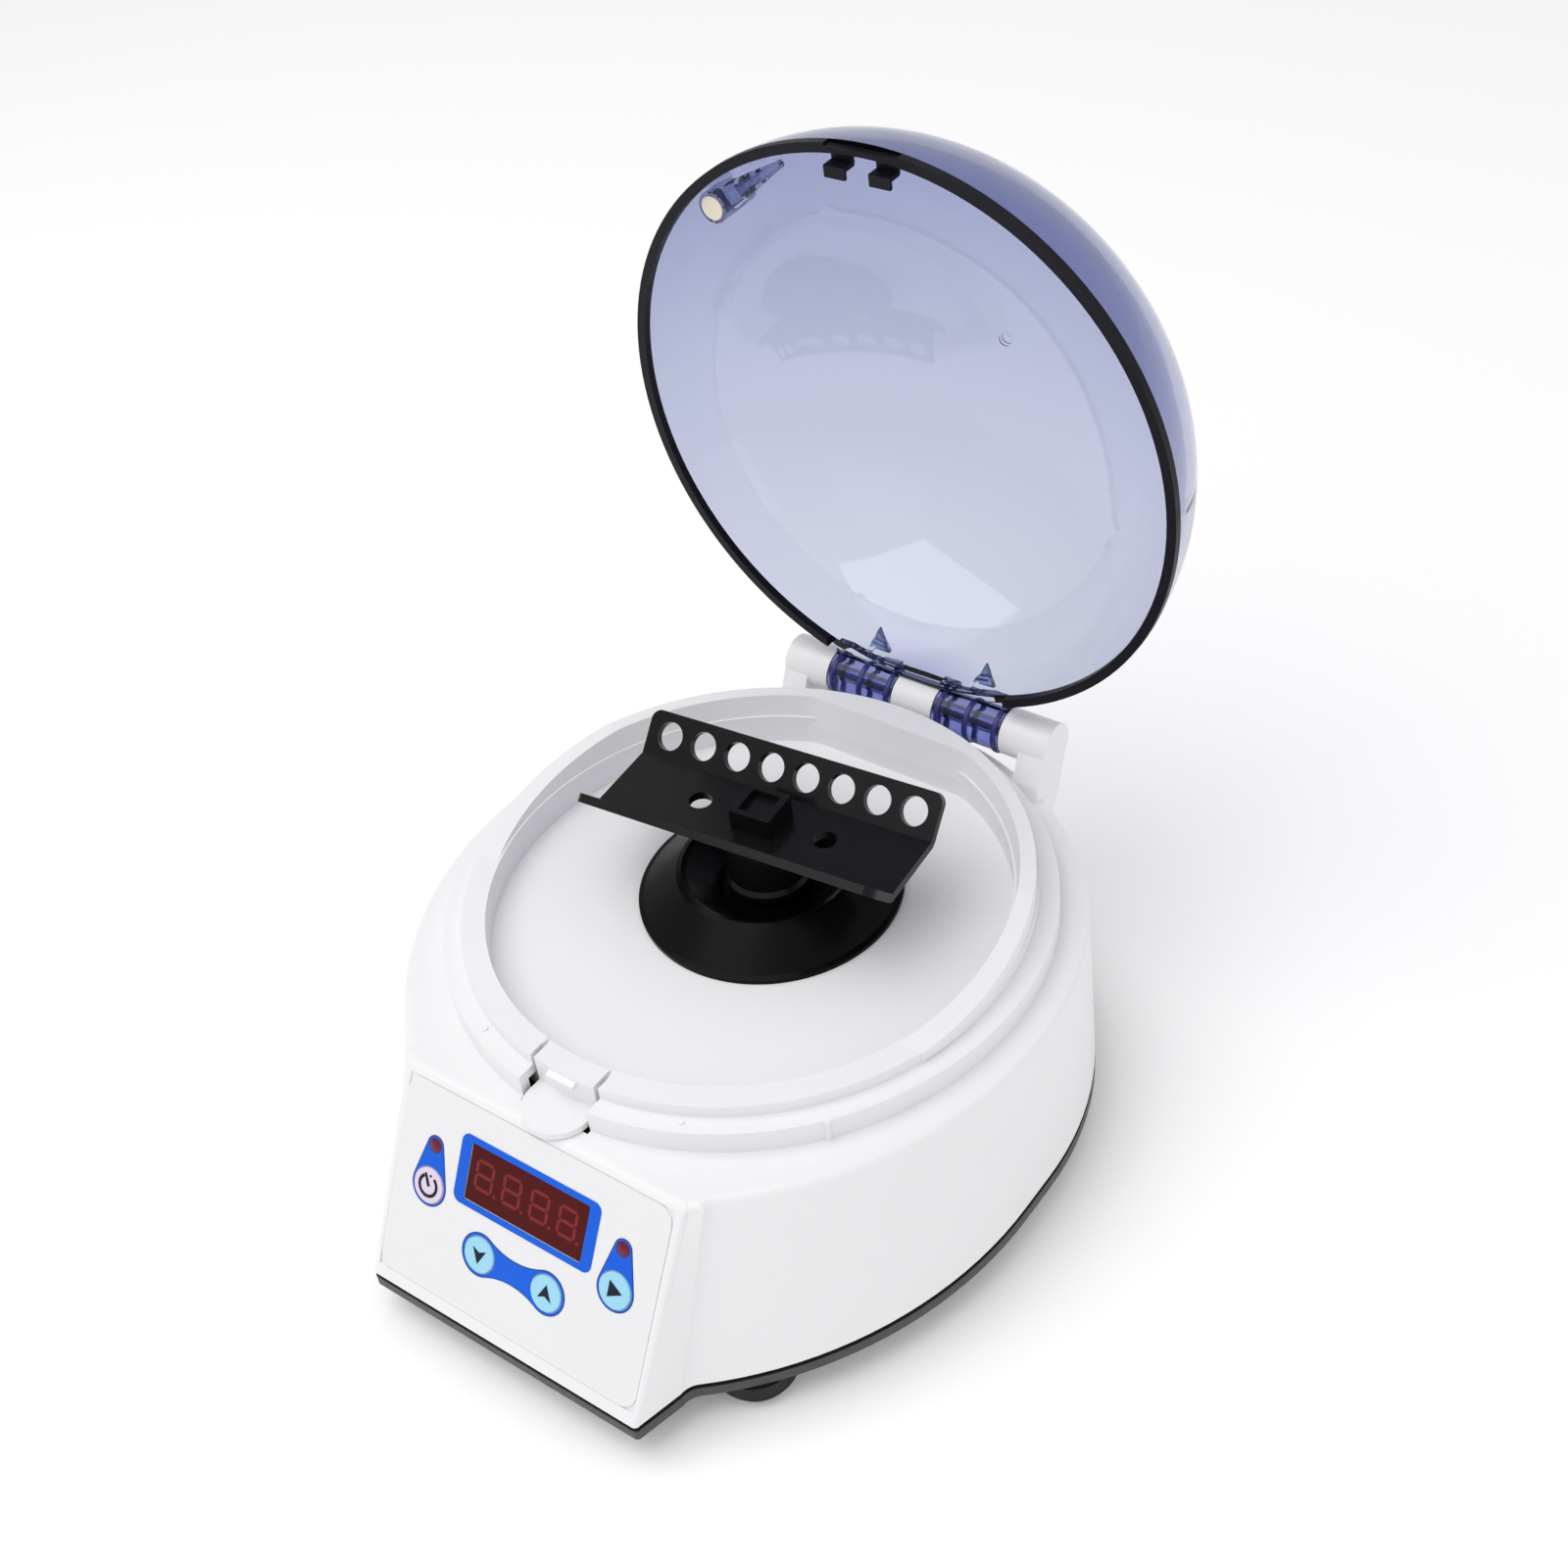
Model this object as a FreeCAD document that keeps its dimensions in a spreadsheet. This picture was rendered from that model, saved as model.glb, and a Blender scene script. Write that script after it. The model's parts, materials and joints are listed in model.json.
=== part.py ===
import FreeCAD
import Part

import math
import os
import re

import Sketcher

Vector = FreeCAD.Vector
Rotation = FreeCAD.Rotation
Placement = FreeCAD.Placement

# Laboratory mini centrifuge with a hinged see-through lid, shown open.
# Millimetres. The rotor's axis is Z, the bench is z = 0, the control panel faces -Y.

DIMENSIONS = [
    # heights above the bench
    ("floor_z", 57.0), ("bowl_floor", 2.4), ("bowl_wall", 1.8), ("bowl_top", 62.0),
    ("deck_z", 55.9), ("ledge_z", 61.5), ("lip_z", 64.5), ("rim_z", 69.8),
    ("split_z", 11.8), ("base_z", 7.1), ("groove", 1.3),
    # the round top of the housing, about an axis that stands in front of the rotor's
    ("ring_y", -7.8), ("bowl_r", 58.6), ("rim_flare", 1.6), ("rim_y", -8.8), ("lip_r", 64.1),
    ("ledge_r", 68.5), ("deck_hole_r", 67.0), ("rear_wall_y", 47.0), ("bowl_corner_r", 12.0),
    # outline of the housing at the base and at the deck
    ("wall", 2.4), ("base_half", 37.4), ("deck_half", 38.2), ("spread", 2.6), ("base_front_y", -106.4),
    ("deck_front_y", -81.2), ("base_side_r", 75.6), ("deck_side_r", 74.8),
    ("base_bulge_r", 95.0), ("deck_bulge_r", 85.0), ("base_bulge_y", -18.4), ("deck_bulge_y", -9.0),
    ("base_blend_r", 5.0), ("deck_blend_r", 3.5), ("front_corner_r", 1.2), ("edge_round", 1.4),
    # hinge and lid, the lid's own sizes counted in its closed place
    ("hinge_y", 63.6), ("hinge_z", 66.4), ("barrel_r", 5.7), ("knuckle_r", 5.6),
    ("barrel_mid", 5.6), ("barrel_in", 24.4), ("barrel_out", 36.7), ("knuckle_in", 6.0),
    ("knuckle_out", 24.0), ("pin_r", 1.5), ("pin_half", 35.4), ("pin_gap", 0.05),
    ("relief_r", 6.2), ("lid_open", 88.5), ("lid_r", 69.0), ("lid_y", -10.2), ("lid_z", 65.3),
    ("lid_wall", 2.2), ("seal_wall", 2.2), ("seal_z", 63.4), ("dome_lean", 5.4),
    ("dome_shoulder_r", 44.6), ("dome_turn", 55.0), ("gate_r", 1.6),
    ("magnet_x", -41.5), ("magnet_y", -57.1), ("magnet_r", 2.7), ("magnet_len", 3.0),
    # control panel
    ("panel_y", -89.2), ("panel_z", 41.8), ("panel_tilt", 60.43), ("overlay_half", 35.8),
    ("overlay_top", 14.6), ("overlay_low", -31.5), ("overlay_thick", 0.5), ("overlay_sunk", 0.35),
    ("window_half_u", 16.0), ("window_half_v", 6.4), ("panel_gap", 0.1), ("key_r", 4.0),
    ("key_gap", 0.12), ("side_key_u", 25.8), ("side_key_v", -8.0),
    ("low_key_u", 9.3), ("low_key_v", -16.9), ("led_v", 1.4), ("led_r", 1.5),
    ("board_w", -10.4), ("board_thick", 1.6),
    # rotor: a folded plate with a tilted rail of tube holes on each long side
    ("rotor_yaw", 5.17), ("rotor_len", 74.8), ("rotor_z", 77.6), ("fold_y", 8.75),
    ("rail_tilt", 47.5), ("rail_width", 10.6), ("rail_thick", 2.0), ("tube_r", 3.3),
    ("tube_pitch", 9.0), ("tube_count", 8), ("hub_r", 9.0), ("hub_low", 61.6), ("post_half", 3.4),
    # motor
    ("shaft_r", 1.5), ("shaft_low", 12.1), ("shaft_top", 73.4), ("motor_r", 14.0),
    ("motor_low", 12.4), ("motor_top", 49.0), ("bush_r", 4.0), ("mount_pcd_r", 20.0),
    ("bracket_r", 25.0), ("bracket_thick", 1.6),
    # latch, feet, screws and the rear panel
    ("latch_half", 8.0), ("latch_lip_r", 8.1), ("hook_z", 62.3), ("foot_r", 9.2),
    ("front_foot_x", 44.5), ("front_foot_y", -76.5), ("rear_foot_x", 39.0), ("rear_foot_y", 42.0),
    ("screw_ring_r", 69.3), ("rear_face_y", 62.2), ("jack_x", -15.0), ("switch_x", 13.0),
    ("port_z", 27.0), ("jack_bore_r", 2.8), ("jack_bore_depth", 9.5), ("rocker_tilt", 7.0),
]

doc = FreeCAD.newDocument("centrifuge")
sheet = doc.addObject("Spreadsheet::Sheet", "Sheet")
ALIASES = [name for name, _ in DIMENSIONS]
SUBPARTS = []


def fill_sheet():
    for row, (name, number) in enumerate(DIMENSIONS, start=1):
        sheet.set("A%d" % row, name)
        sheet.set("B%d" % row, str(number))
        sheet.setAlias("B%d" % row, name)
    doc.recompute()


def bound(text):
    """An expression in the sheet's aliases, as FreeCAD's expression engine reads it."""
    def qualify(match):
        word = match.group()
        return "Sheet." + word if word in ALIASES else word
    return re.sub(r"[a-z]\w*", qualify, text)


def size(text):
    """The present value of an expression in the sheet's aliases."""
    return float(sheet.evalExpression(bound(text)))


fill_sheet()
D = {name: size(name) for name in ALIASES}
RING = Vector(0, D["ring_y"], 0)
UP = Vector(0, 0, 1)
ALONG_X = Vector(1, 0, 0)
ALONG_Y = Vector(0, 1, 0)
HINGE = Vector(0, D["hinge_y"], D["hinge_z"])
OPEN_LID = Placement(Vector(), Rotation(ALONG_X, -D["lid_open"]), HINGE)
PANEL = Placement(Vector(0, D["panel_y"], D["panel_z"]), Rotation(ALONG_X, D["panel_tilt"]))
ROTOR = Placement(Vector(), Rotation(UP, D["rotor_yaw"]))
KEYS = [("time_key", "-side_key_u", "side_key_v"), ("start_key", "side_key_u", "side_key_v"),
        ("down_key", "-low_key_u", "low_key_v"), ("up_key", "low_key_u", "low_key_v")]


# ---------------------------------------------------------------- building blocks

def keep(thing, label):
    """Name a finished sub-part; its label is its node and its file."""
    thing.Label = label
    SUBPARTS.append(thing)
    return thing


def feature(label, shape, placement=None):
    thing = doc.addObject("Part::Feature", label)
    thing.Shape = shape
    if placement is not None:
        thing.Placement = placement
    return keep(thing, label)


def group(label, things):
    """Several like solids that share one node."""
    thing = doc.addObject("Part::Compound", label)
    thing.Links = things
    return keep(thing, label)


def new_sketch(body, name, role="XY_Plane", offset="0"):
    """A sketch on one of the body's own origin planes, moved along its normal by offset."""
    sketch = body.newObject("Sketcher::SketchObject", name)
    plane = next(item for item in body.Origin.OriginFeatures if item.Role == role)
    sketch.AttachmentSupport = [(plane, "")]
    sketch.MapMode = "FlatFace"
    sketch.AttachmentOffset = Placement(Vector(0, 0, size(offset)), Rotation())
    sketch.setExpression("AttachmentOffset.Base.z", bound(offset))
    return sketch


def fix_point(sketch, geometry, vertex, across, up):
    """Tie one vertex of a sketch to expressions for its two coordinates."""
    for kind, text in (("DistanceX", across), ("DistanceY", up)):
        rule = Sketcher.Constraint(kind, -1, 1, geometry, vertex, size(text))
        index = sketch.addConstraint(rule)
        sketch.setExpression("Constraints[%d]" % index, bound(text))


def add_polygon(sketch, points):
    """A closed outline of straight lines; each point is a pair of expressions."""
    first = sketch.GeometryCount
    count = len(points)
    flat = [Vector(size(across), size(up), 0) for across, up in points]
    for i in range(count):
        sketch.addGeometry(Part.LineSegment(flat[i], flat[(i + 1) % count]), False)
    for i in range(count):
        after = first + (i + 1) % count
        sketch.addConstraint(Sketcher.Constraint("Coincident", first + i, 2, after, 1))
    for i, (across, up) in enumerate(points):
        fix_point(sketch, first + i, 1, across, up)


def add_circle(sketch, across, up, radius):
    circle = Part.Circle(Vector(size(across), size(up), 0), UP, size(radius))
    index = sketch.addGeometry(circle, False)
    fix_point(sketch, index, 3, across, up)
    rule = sketch.addConstraint(Sketcher.Constraint("Radius", index, size(radius)))
    sketch.setExpression("Constraints[%d]" % rule, bound(radius))


def rectangle(low_u, high_u, low_v, high_v):
    return [(low_u, low_v), (high_u, low_v), (high_u, high_v), (low_u, high_v)]


def padded(body, sketch, height, name="pad"):
    pad = body.newObject("PartDesign::Pad", body.Name + "_" + name)
    pad.Profile = sketch
    pad.setExpression("Length", bound(height))
    doc.recompute()
    return pad


def pocketed(body, sketch, name="pocket"):
    """Cut a sketch right through the body, both ways."""
    before = body.Shape.Volume
    pocket = body.newObject("PartDesign::Pocket", body.Name + "_" + name)
    pocket.Profile = sketch
    pocket.Type = "ThroughAll"
    pocket.Midplane = True
    doc.recompute()
    if not body.Shape.Volume < before:
        raise RuntimeError(pocket.Name + " cut nothing")
    return pocket


def new_body(label, placement=None):
    body = doc.addObject("PartDesign::Body", label)
    if placement is not None:
        body.Placement = placement
    return keep(body, label)


def turned(label, points, placement=None):
    """A body turned about Z from an outline of (radius, height) expressions."""
    body = new_body(label, placement)
    sketch = new_sketch(body, label + "_profile", "XZ_Plane")
    add_polygon(sketch, points)
    turn = body.newObject("PartDesign::Revolution", label + "_turn")
    turn.Profile = sketch
    turn.ReferenceAxis = (sketch, ["V_Axis"])
    turn.Angle = 360
    doc.recompute()
    return body


def rounded(body, base, radius, wanted):
    """Round the edges of a body's last feature that the test picks."""
    names = ["Edge%d" % (i + 1) for i, edge in enumerate(base.Shape.Edges) if wanted(edge)]
    fillet = body.newObject("PartDesign::Fillet", body.Name + "_round")
    fillet.Base = (base, names)
    fillet.Radius = radius
    doc.recompute()
    return fillet


def upright(edge):
    """Whether an edge runs along the sketch normal of a padded body."""
    box = edge.BoundBox
    return box.XLength < 1e-6 and box.YLength < 1e-6


def cylinder(name, radius, height, centre, axis=UP):
    """A Part cylinder that starts at centre, a triple of expressions, and runs along axis."""
    thing = doc.addObject("Part::Cylinder", name)
    thing.setExpression("Radius", bound(radius))
    thing.setExpression("Height", bound(height))
    thing.Placement = Placement(Vector(), Rotation(UP, axis))
    for letter, text in zip("xyz", centre):
        thing.setExpression("Placement.Base." + letter, bound(text))
    return thing


def brick(name, low, sides):
    """A Part box from its low corner and its three sides, all expressions."""
    thing = doc.addObject("Part::Box", name)
    for side, text in zip(("Length", "Width", "Height"), sides):
        thing.setExpression(side, bound(text))
    for letter, text in zip("xyz", low):
        thing.setExpression("Placement.Base." + letter, bound(text))
    return thing


def fused(name, things):
    thing = doc.addObject("Part::MultiFuse", name)
    thing.Shapes = things
    return thing


def cut(name, base, tool):
    thing = doc.addObject("Part::Cut", name)
    thing.Base = base
    thing.Tool = tool
    return thing


def block(low, high):
    """A plain box between two corners, as a shape."""
    low = Vector(*low)
    sides = Vector(*high) - low
    return Part.makeBox(sides.x, sides.y, sides.z, low)


def rod(radius, start, end):
    """A round bar between two points, as a shape."""
    start = Vector(*start)
    run = Vector(*end) - start
    return Part.makeCylinder(radius, run.Length, start, run)


def disc(radius, low, high, centre=RING):
    """An upright cylinder about the ring's axis, as a shape."""
    return Part.makeCylinder(radius, high - low, Vector(centre.x, centre.y, low))


def on_panel(shape):
    shape.Placement = PANEL.multiply(shape.Placement)
    return shape


def extruded_x(points, half_low, half_high):
    """A solid with the given (y, z) outline between two values of x."""
    corners = [Vector(half_low, y, z) for y, z in points]
    face = Part.Face(Part.makePolygon(corners + corners[:1]))
    return face.extrude(Vector(half_high - half_low, 0, 0))


# ---------------------------------------------------------------- housing

def outline(share, inset, z):
    """The housing's closed outline; share runs from 0 at the base to 1 at the deck."""
    def mix(name):
        return D["base_" + name] + share * (D["deck_" + name] - D["base_" + name])
    slope = math.sin(math.radians(D["panel_tilt"]))
    half = mix("half") - inset
    front = mix("front_y") + inset / slope
    corner = D["front_corner_r"] if inset == 0 else D["front_corner_r"] / 2
    blend = mix("blend_r") + inset
    bulge_r = mix("bulge_r") - inset
    side = mix("side_r") - inset
    bulge = Vector(side - bulge_r, mix("bulge_y"), z)
    wide = half + D["spread"]
    blend_x = wide + blend
    blend_y = bulge.y - math.sqrt((bulge_r + blend) ** 2 - (blend_x - bulge.x) ** 2)
    blend_at = Vector(blend_x, blend_y, z)
    to_blend = (blend_at - bulge).normalize()
    meet = bulge + to_blend * bulge_r
    turn = (Vector(-1, 0, 0) - to_blend).normalize()
    sweep = (to_blend + ALONG_X).normalize()
    quarter = math.sqrt(0.5)
    corner_at = Vector(half - corner, front + corner, z)
    corner_mid = corner_at + Vector(quarter, -quarter, 0) * corner
    right = [
        ("line", Vector(half - corner, front, z)),
        (corner_mid, Vector(half, front + corner, z)),
        ("line", Vector(wide, blend_y, z)),
        (blend_at + turn * blend, meet),
        (bulge + sweep * bulge_r, Vector(side, bulge.y, z)),
        ("line", Vector(side, D["ring_y"], z)),
    ]
    rear_mid = Vector(0, D["ring_y"] + side, z)
    return Part.Wire(mirrored_edges(right, rear_mid))


def mirrored_edges(right, rear_mid):
    """Edges of an outline from its right half, run up to the rear and mirrored back."""
    def flip(point):
        return Vector(-point.x, point.y, point.z)

    def edge(start, via, end):
        if isinstance(via, str):
            return Part.makeLine(start, end)
        return Part.Arc(start, via, end).toShape()
    edges = [Part.makeLine(flip(right[0][1]), right[0][1])]
    for (_, start), (via, end) in zip(right, right[1:]):
        edges.append(edge(start, via, end))
    edges.append(Part.Arc(right[-1][1], rear_mid, flip(right[-1][1])).toShape())
    for (_, start), (via, end) in reversed(list(zip(right, right[1:]))):
        back = via if isinstance(via, str) else flip(via)
        edges.append(edge(flip(end), back, flip(start)))
    return edges


def shell_between(low, high, inset, edge=0.0):
    """The housing's body between two heights, drawn in by inset, its top edge rounded."""
    sections = [(low, inset), (high - edge, inset)]
    steps = 4 if edge else 0
    for i in range(1, steps + 1):
        turn = math.radians(90 * i / steps)
        sections.append((high - edge + edge * math.sin(turn), inset + edge * (1 - math.cos(turn))))
    wires = []
    for z, draw_in in sections:
        share = (z - D["split_z"]) / (D["deck_z"] - D["split_z"])
        wires.append(outline(share, draw_in, z))
    return Part.makeLoft(wires, True, True)


def chamber_prism(low, high, grow=0.0):
    """The D-shaped chamber, its straight side at the rear with rounded corners."""
    rear = D["rear_wall_y"] + grow
    round_part = disc(D["bowl_r"] + grow, low, high)
    box = block((-80, -80, low), (80, rear, high))
    prism = round_part.common(box)
    sharp = [edge for edge in prism.Edges if upright(edge) and edge.BoundBox.YMax > rear - 1]
    return prism.makeFillet(D["bowl_corner_r"] + grow, sharp)


def ring_profile():
    """The stepped ring round the chamber, hollow underneath."""
    points = [
        (D["bowl_r"], D["bowl_top"]), (D["bowl_r"], D["lip_z"]), (D["lip_r"], D["lip_z"]),
        (D["lip_r"], D["ledge_z"]), (D["ledge_r"], D["ledge_z"]),
        (D["ledge_r"], D["deck_z"] - D["wall"]),
        (D["ledge_r"] - D["wall"], D["deck_z"] - D["wall"]),
        (D["ledge_r"] - D["wall"], D["ledge_z"] - D["wall"]),
        (D["lip_r"] - 0.7, D["ledge_z"] - D["wall"]),
        (D["lip_r"] - 0.7, D["deck_z"] - D["wall"]),
        (D["bowl_r"] + D["bowl_wall"] + 0.4, D["deck_z"] - D["wall"]),
        (D["bowl_r"] + D["bowl_wall"] + 0.4, D["bowl_top"]),
    ]
    corners = [Vector(r, D["ring_y"], z) for r, z in points]
    face = Part.Face(Part.makePolygon(corners + corners[:1]))
    return face.revolve(RING, UP, 360)


def flared_chamber(low, high):
    """The chamber's form within the raised rim, which opens out towards its top."""
    ends = []
    for z, grow in ((low, 0.0), (high, D["rim_flare"])):
        prism = chamber_prism(z - 1, z, grow)
        top = [face for face in prism.Faces if face.BoundBox.ZMin > z - 0.01]
        ends.append(top[0].OuterWire)
    return Part.makeLoft(ends, True, True)


def raised_rim():
    """The higher rear part of the chamber's rim, which slopes down to the front lip."""
    top = D["rim_z"]
    low = D["bowl_top"]
    high_y = 16.0
    low_y = -30.0
    rim = disc(D["lip_r"], low, top, Vector(0, D["rim_y"], 0))
    rim = rim.common(block((-80, low_y, low), (80, 80, top)))
    rim = rim.cut(flared_chamber(low, top))
    above = extruded_x([(high_y, top), (low_y, D["lip_z"]), (low_y, 90), (high_y, 90)], -80, 80)
    return rim.cut(above)


def rear_lip():
    """What is taken off the rear of the lip so that the lid's ring can swing past it."""
    ring = disc(D["lip_r"] + 1, D["ledge_z"], D["lip_z"] + 1)
    ring = ring.cut(disc(D["lip_r"], D["ledge_z"] - 1, D["lip_z"] + 2, Vector(0, D["rim_y"], 0)))
    return ring.common(block((-80, 25, 0), (80, 80, 99)))


def lip_bumps():
    """Two small pads on the ledge and a rib on its outer wall."""
    bumps = []
    for angle, reach, low, high in ((-112, 65.9, D["ledge_z"] - 0.2, D["ledge_z"] + 0.4),
                                    (-65.5, 65.9, D["ledge_z"] - 0.2, D["ledge_z"] + 0.4),
                                    (-40.4, D["ledge_r"], D["deck_z"] - 0.2, D["ledge_z"])):
        turn = math.radians(angle)
        x = reach * math.cos(turn)
        y = D["ring_y"] + reach * math.sin(turn)
        bumps.append(rod(0.7, (x, y, low), (x, y, high)))
    return bumps


def hinge_supports():
    """Three fixed barrels and the lugs that carry them."""
    y = D["hinge_y"]
    z = D["hinge_z"]
    rear = y + D["barrel_r"]
    middle = [(60, 50), (60, z), (rear, z), (rear - 3, 50)]
    side = [(52, 46), (54.8, 60), (y - D["barrel_r"], z), (rear, z), (rear - 5.6, 51.5),
            (58, 46)]
    lug = D["barrel_in"] + 5.6
    out = D["barrel_out"]
    mid = D["barrel_mid"]
    pieces = [extruded_x(middle, -mid, mid), rod(D["barrel_r"], (-mid, y, z), (mid, y, z))]
    for turn in (-1, 1):
        pieces.append(extruded_x(side, turn * lug, turn * out))
        pieces.append(rod(D["barrel_r"], (turn * D["barrel_in"], y, z), (turn * out, y, z)))
    return pieces


def screw_places():
    """Where the four base screws stand, on a circle about the ring's axis."""
    places = []
    for angle in (38, 142, 218, 322):
        turn = math.radians(angle)
        reach = D["screw_ring_r"]
        places.append((reach * math.cos(turn), D["ring_y"] + reach * math.sin(turn)))
    return places


def screw_bosses():
    boss_r = 3.4
    low = D["split_z"] + 0.2
    high = D["deck_z"] - 1
    return [rod(boss_r, (x, y, low), (x, y, high)) for x, y in screw_places()]


def board_posts():
    """Two posts behind the panel that carry the control board."""
    posts = []
    for side in (-1, 1):
        posts.append(on_panel(rod(2.5, (side * 30, -24, -D["wall"] + 0.5),
                                  (side * 30, -24, D["board_w"]))))
    return posts


def panel_openings():
    """Holes and recesses in the sloping front wall."""
    gap = D["panel_gap"]
    cuts = [block((-D["overlay_half"] - gap, D["overlay_low"] - gap, -D["overlay_sunk"]),
                  (D["overlay_half"] + gap, D["overlay_top"] + gap, 3))]
    cuts.append(block((-D["window_half_u"] - gap, -D["window_half_v"] - gap, -6),
                      (D["window_half_u"] + gap, D["window_half_v"] + gap, 3)))
    for _, u, v in KEYS:
        at = (size(u), size(v))
        cuts.append(rod(D["key_r"] + D["key_gap"], (*at, -1.3), (*at, 3)))
        cuts.append(rod(1.8, (*at, -6), (*at, 3)))
    for side in (-1, 1):
        at = (side * D["side_key_u"], D["led_v"])
        cuts.append(rod(D["led_r"] + gap, (*at, -6), (*at, 3)))
    return [on_panel(shape) for shape in cuts]


def latch_openings():
    """The slot for the latch tab and the step that its top plate slides over."""
    slot_half = D["latch_half"] + 1.1
    plate_half = D["latch_half"] + 0.9
    return [block((-slot_half, -76.6, 50), (slot_half, -67.6, 70)),
            block((-plate_half, -72.0, D["lip_z"] - 1.5), (plate_half, -60.0, 70))]


def rear_openings():
    """The flat recess at the back with the power socket and the switch in it."""
    face = D["rear_face_y"]
    z = D["port_z"]
    recess = block((-30, face, z - 13), (30, 80, z + 13))
    socket = rod(4.2, (D["jack_x"], 50, z), (D["jack_x"], 70, z))
    switch = block((D["switch_x"] - 6.5, 50, z - 9.5), (D["switch_x"] + 6.5, 70, z + 9.5))
    return [recess, socket, switch]


def knuckle_gaps():
    """Room for the lid's knuckles between the fixed barrels."""
    y = D["hinge_y"]
    z = D["hinge_z"]
    return [rod(D["relief_r"] + 0.1, (side * D["barrel_mid"], y, z), (side * D["barrel_in"], y, z))
            for side in (-1, 1)]


def upper_housing():
    outer = shell_between(D["split_z"], D["deck_z"], 0, D["edge_round"])
    cavity = shell_between(D["split_z"] - 5, D["deck_z"] - D["wall"], D["wall"])
    shell = outer.cut(cavity).cut(disc(D["deck_hole_r"], 45, 60))
    rear_face = block((-32, D["rear_face_y"] - 2.7, D["port_z"] - 15),
                      (32, D["rear_face_y"] + 1.6, D["port_z"] + 15))
    rear_face = rear_face.common(shell_between(D["split_z"], D["deck_z"], 0.5))
    extras = [ring_profile().cut(rear_lip()), raised_rim(), rear_face]
    extras += lip_bumps() + hinge_supports() + screw_bosses() + board_posts()
    body = shell.multiFuse(extras)
    pin_gap = D["pin_r"] + D["pin_gap"]
    pin_half = D["pin_half"] + 0.1
    cuts = panel_openings() + latch_openings() + rear_openings() + knuckle_gaps()
    cuts.append(rod(pin_gap, (-pin_half, D["hinge_y"], D["hinge_z"]),
                    (pin_half, D["hinge_y"], D["hinge_z"])))
    cuts += [rod(1.35, (x, y, 5), (x, y, 26)) for x, y in screw_places()]
    body = body.cut(Part.makeCompound(cuts))
    feature("upper_housing", body.removeSplitter())


def chamber_bowl():
    low = D["floor_z"] - D["bowl_floor"]
    bowl = chamber_prism(low, D["bowl_top"], D["bowl_wall"])
    bowl = bowl.cut(chamber_prism(D["floor_z"], D["bowl_top"] + 1))
    seat = block((-4, -60.5, 43), (4, -57.5, low + 0.1))
    bowl = bowl.fuse(seat).cut(rod(6, (0, 0, 40), (0, 0, 70)))
    for x, y in mount_places():
        bowl = bowl.cut(rod(D["shaft_r"] + 0.05, (x, y, 40), (x, y, 70)))
    feature("chamber_bowl", bowl.removeSplitter())


# ---------------------------------------------------------------- base and feet

def foot_places():
    front = [(side * D["front_foot_x"], D["front_foot_y"]) for side in (-1, 1)]
    rear = [(side * D["rear_foot_x"], D["rear_foot_y"]) for side in (-1, 1)]
    return front + rear


def base_plate():
    groove_z = D["split_z"] - D["groove"]
    plate = Part.Face(outline(0, 0, D["base_z"])).extrude(Vector(0, 0, groove_z - D["base_z"]))
    bottom = [edge for edge in plate.Edges if edge.BoundBox.ZMax < D["base_z"] + 0.01]
    plate = plate.makeChamfer(0.6, [edge for edge in bottom if edge.Length > 5])
    neck = Part.Face(outline(0, D["groove"], groove_z - 0.5))
    plate = plate.fuse(neck.extrude(Vector(0, 0, D["groove"] + 0.5)))
    gap = 0.25
    top = D["split_z"] + 4
    fence = shell_between(D["split_z"] - 0.5, top, D["wall"] + gap)
    fence = fence.cut(shell_between(D["split_z"] - 0.5, top, D["wall"] + 2))
    posts = [rod(2.5, (x, y, D["split_z"] - 0.5), (x, y, 15.4)) for x, y in board_corners()]
    plate = plate.multiFuse([fence] + posts)
    cuts = [rod(4.2, (x, y, D["split_z"]), (x, y, 20)) for x, y in screw_places()]
    cuts += [rod(1.7, (x, y, 0), (x, y, 20)) for x, y in screw_places()]
    cuts += [rod(3.0, (x, y, 0), (x, y, D["base_z"] + 1.9)) for x, y in screw_places()]
    cuts += [rod(3.05, (x, y, 0), (x, y, 20)) for x, y in foot_places()]
    cuts.append(block((-34, 50, D["split_z"]), (34, 80, 20)))
    slot_count = 7
    for i in range(slot_count):
        x = (i - slot_count // 2) * 6.0
        cuts.append(block((x - 1.25, -14, 0), (x + 1.25, 14, 20)))
    feature("base_plate", plate.cut(Part.makeCompound(cuts)).removeSplitter())


def rubber_feet():
    feet = []
    for i, (x, y) in enumerate(foot_places()):
        pad = cylinder("foot_pad_%d" % i, "foot_r", "base_z - 3", (str(x), str(y), "3"))
        taper = doc.addObject("Part::Cone", "foot_taper_%d" % i)
        taper.setExpression("Radius1", bound("foot_r - 1.8"))
        taper.setExpression("Radius2", bound("foot_r"))
        taper.Height = 3
        taper.Placement.Base = Vector(x, y, 0)
        stub = cylinder("foot_stub_%d" % i, "3", "2.6", (str(x), str(y), "base_z"))
        whole = fused("foot_%d" % i, [taper, pad, stub])
        doc.recompute()
        soft = doc.addObject("Part::Fillet", "foot_round_%d" % i)
        soft.Base = whole
        rim = [k + 1 for k, edge in enumerate(whole.Shape.Edges) if edge.BoundBox.ZMax < 0.01]
        soft.Edges = [(k, 0.8, 0.8) for k in rim]
        feet.append(soft)
    group("rubber_feet", feet)


def base_screws():
    screws = []
    for i, (x, y) in enumerate(screw_places()):
        head = cylinder("base_screw_head_%d" % i, "2.8", "1.7", (str(x), str(y), "base_z + 0.1"))
        shank = cylinder("base_screw_shank_%d" % i, "1.3", "16", (str(x), str(y), "base_z + 1.5"))
        screws.append(fused("base_screw_%d" % i, [head, shank]))
    group("base_screws", screws)


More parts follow.
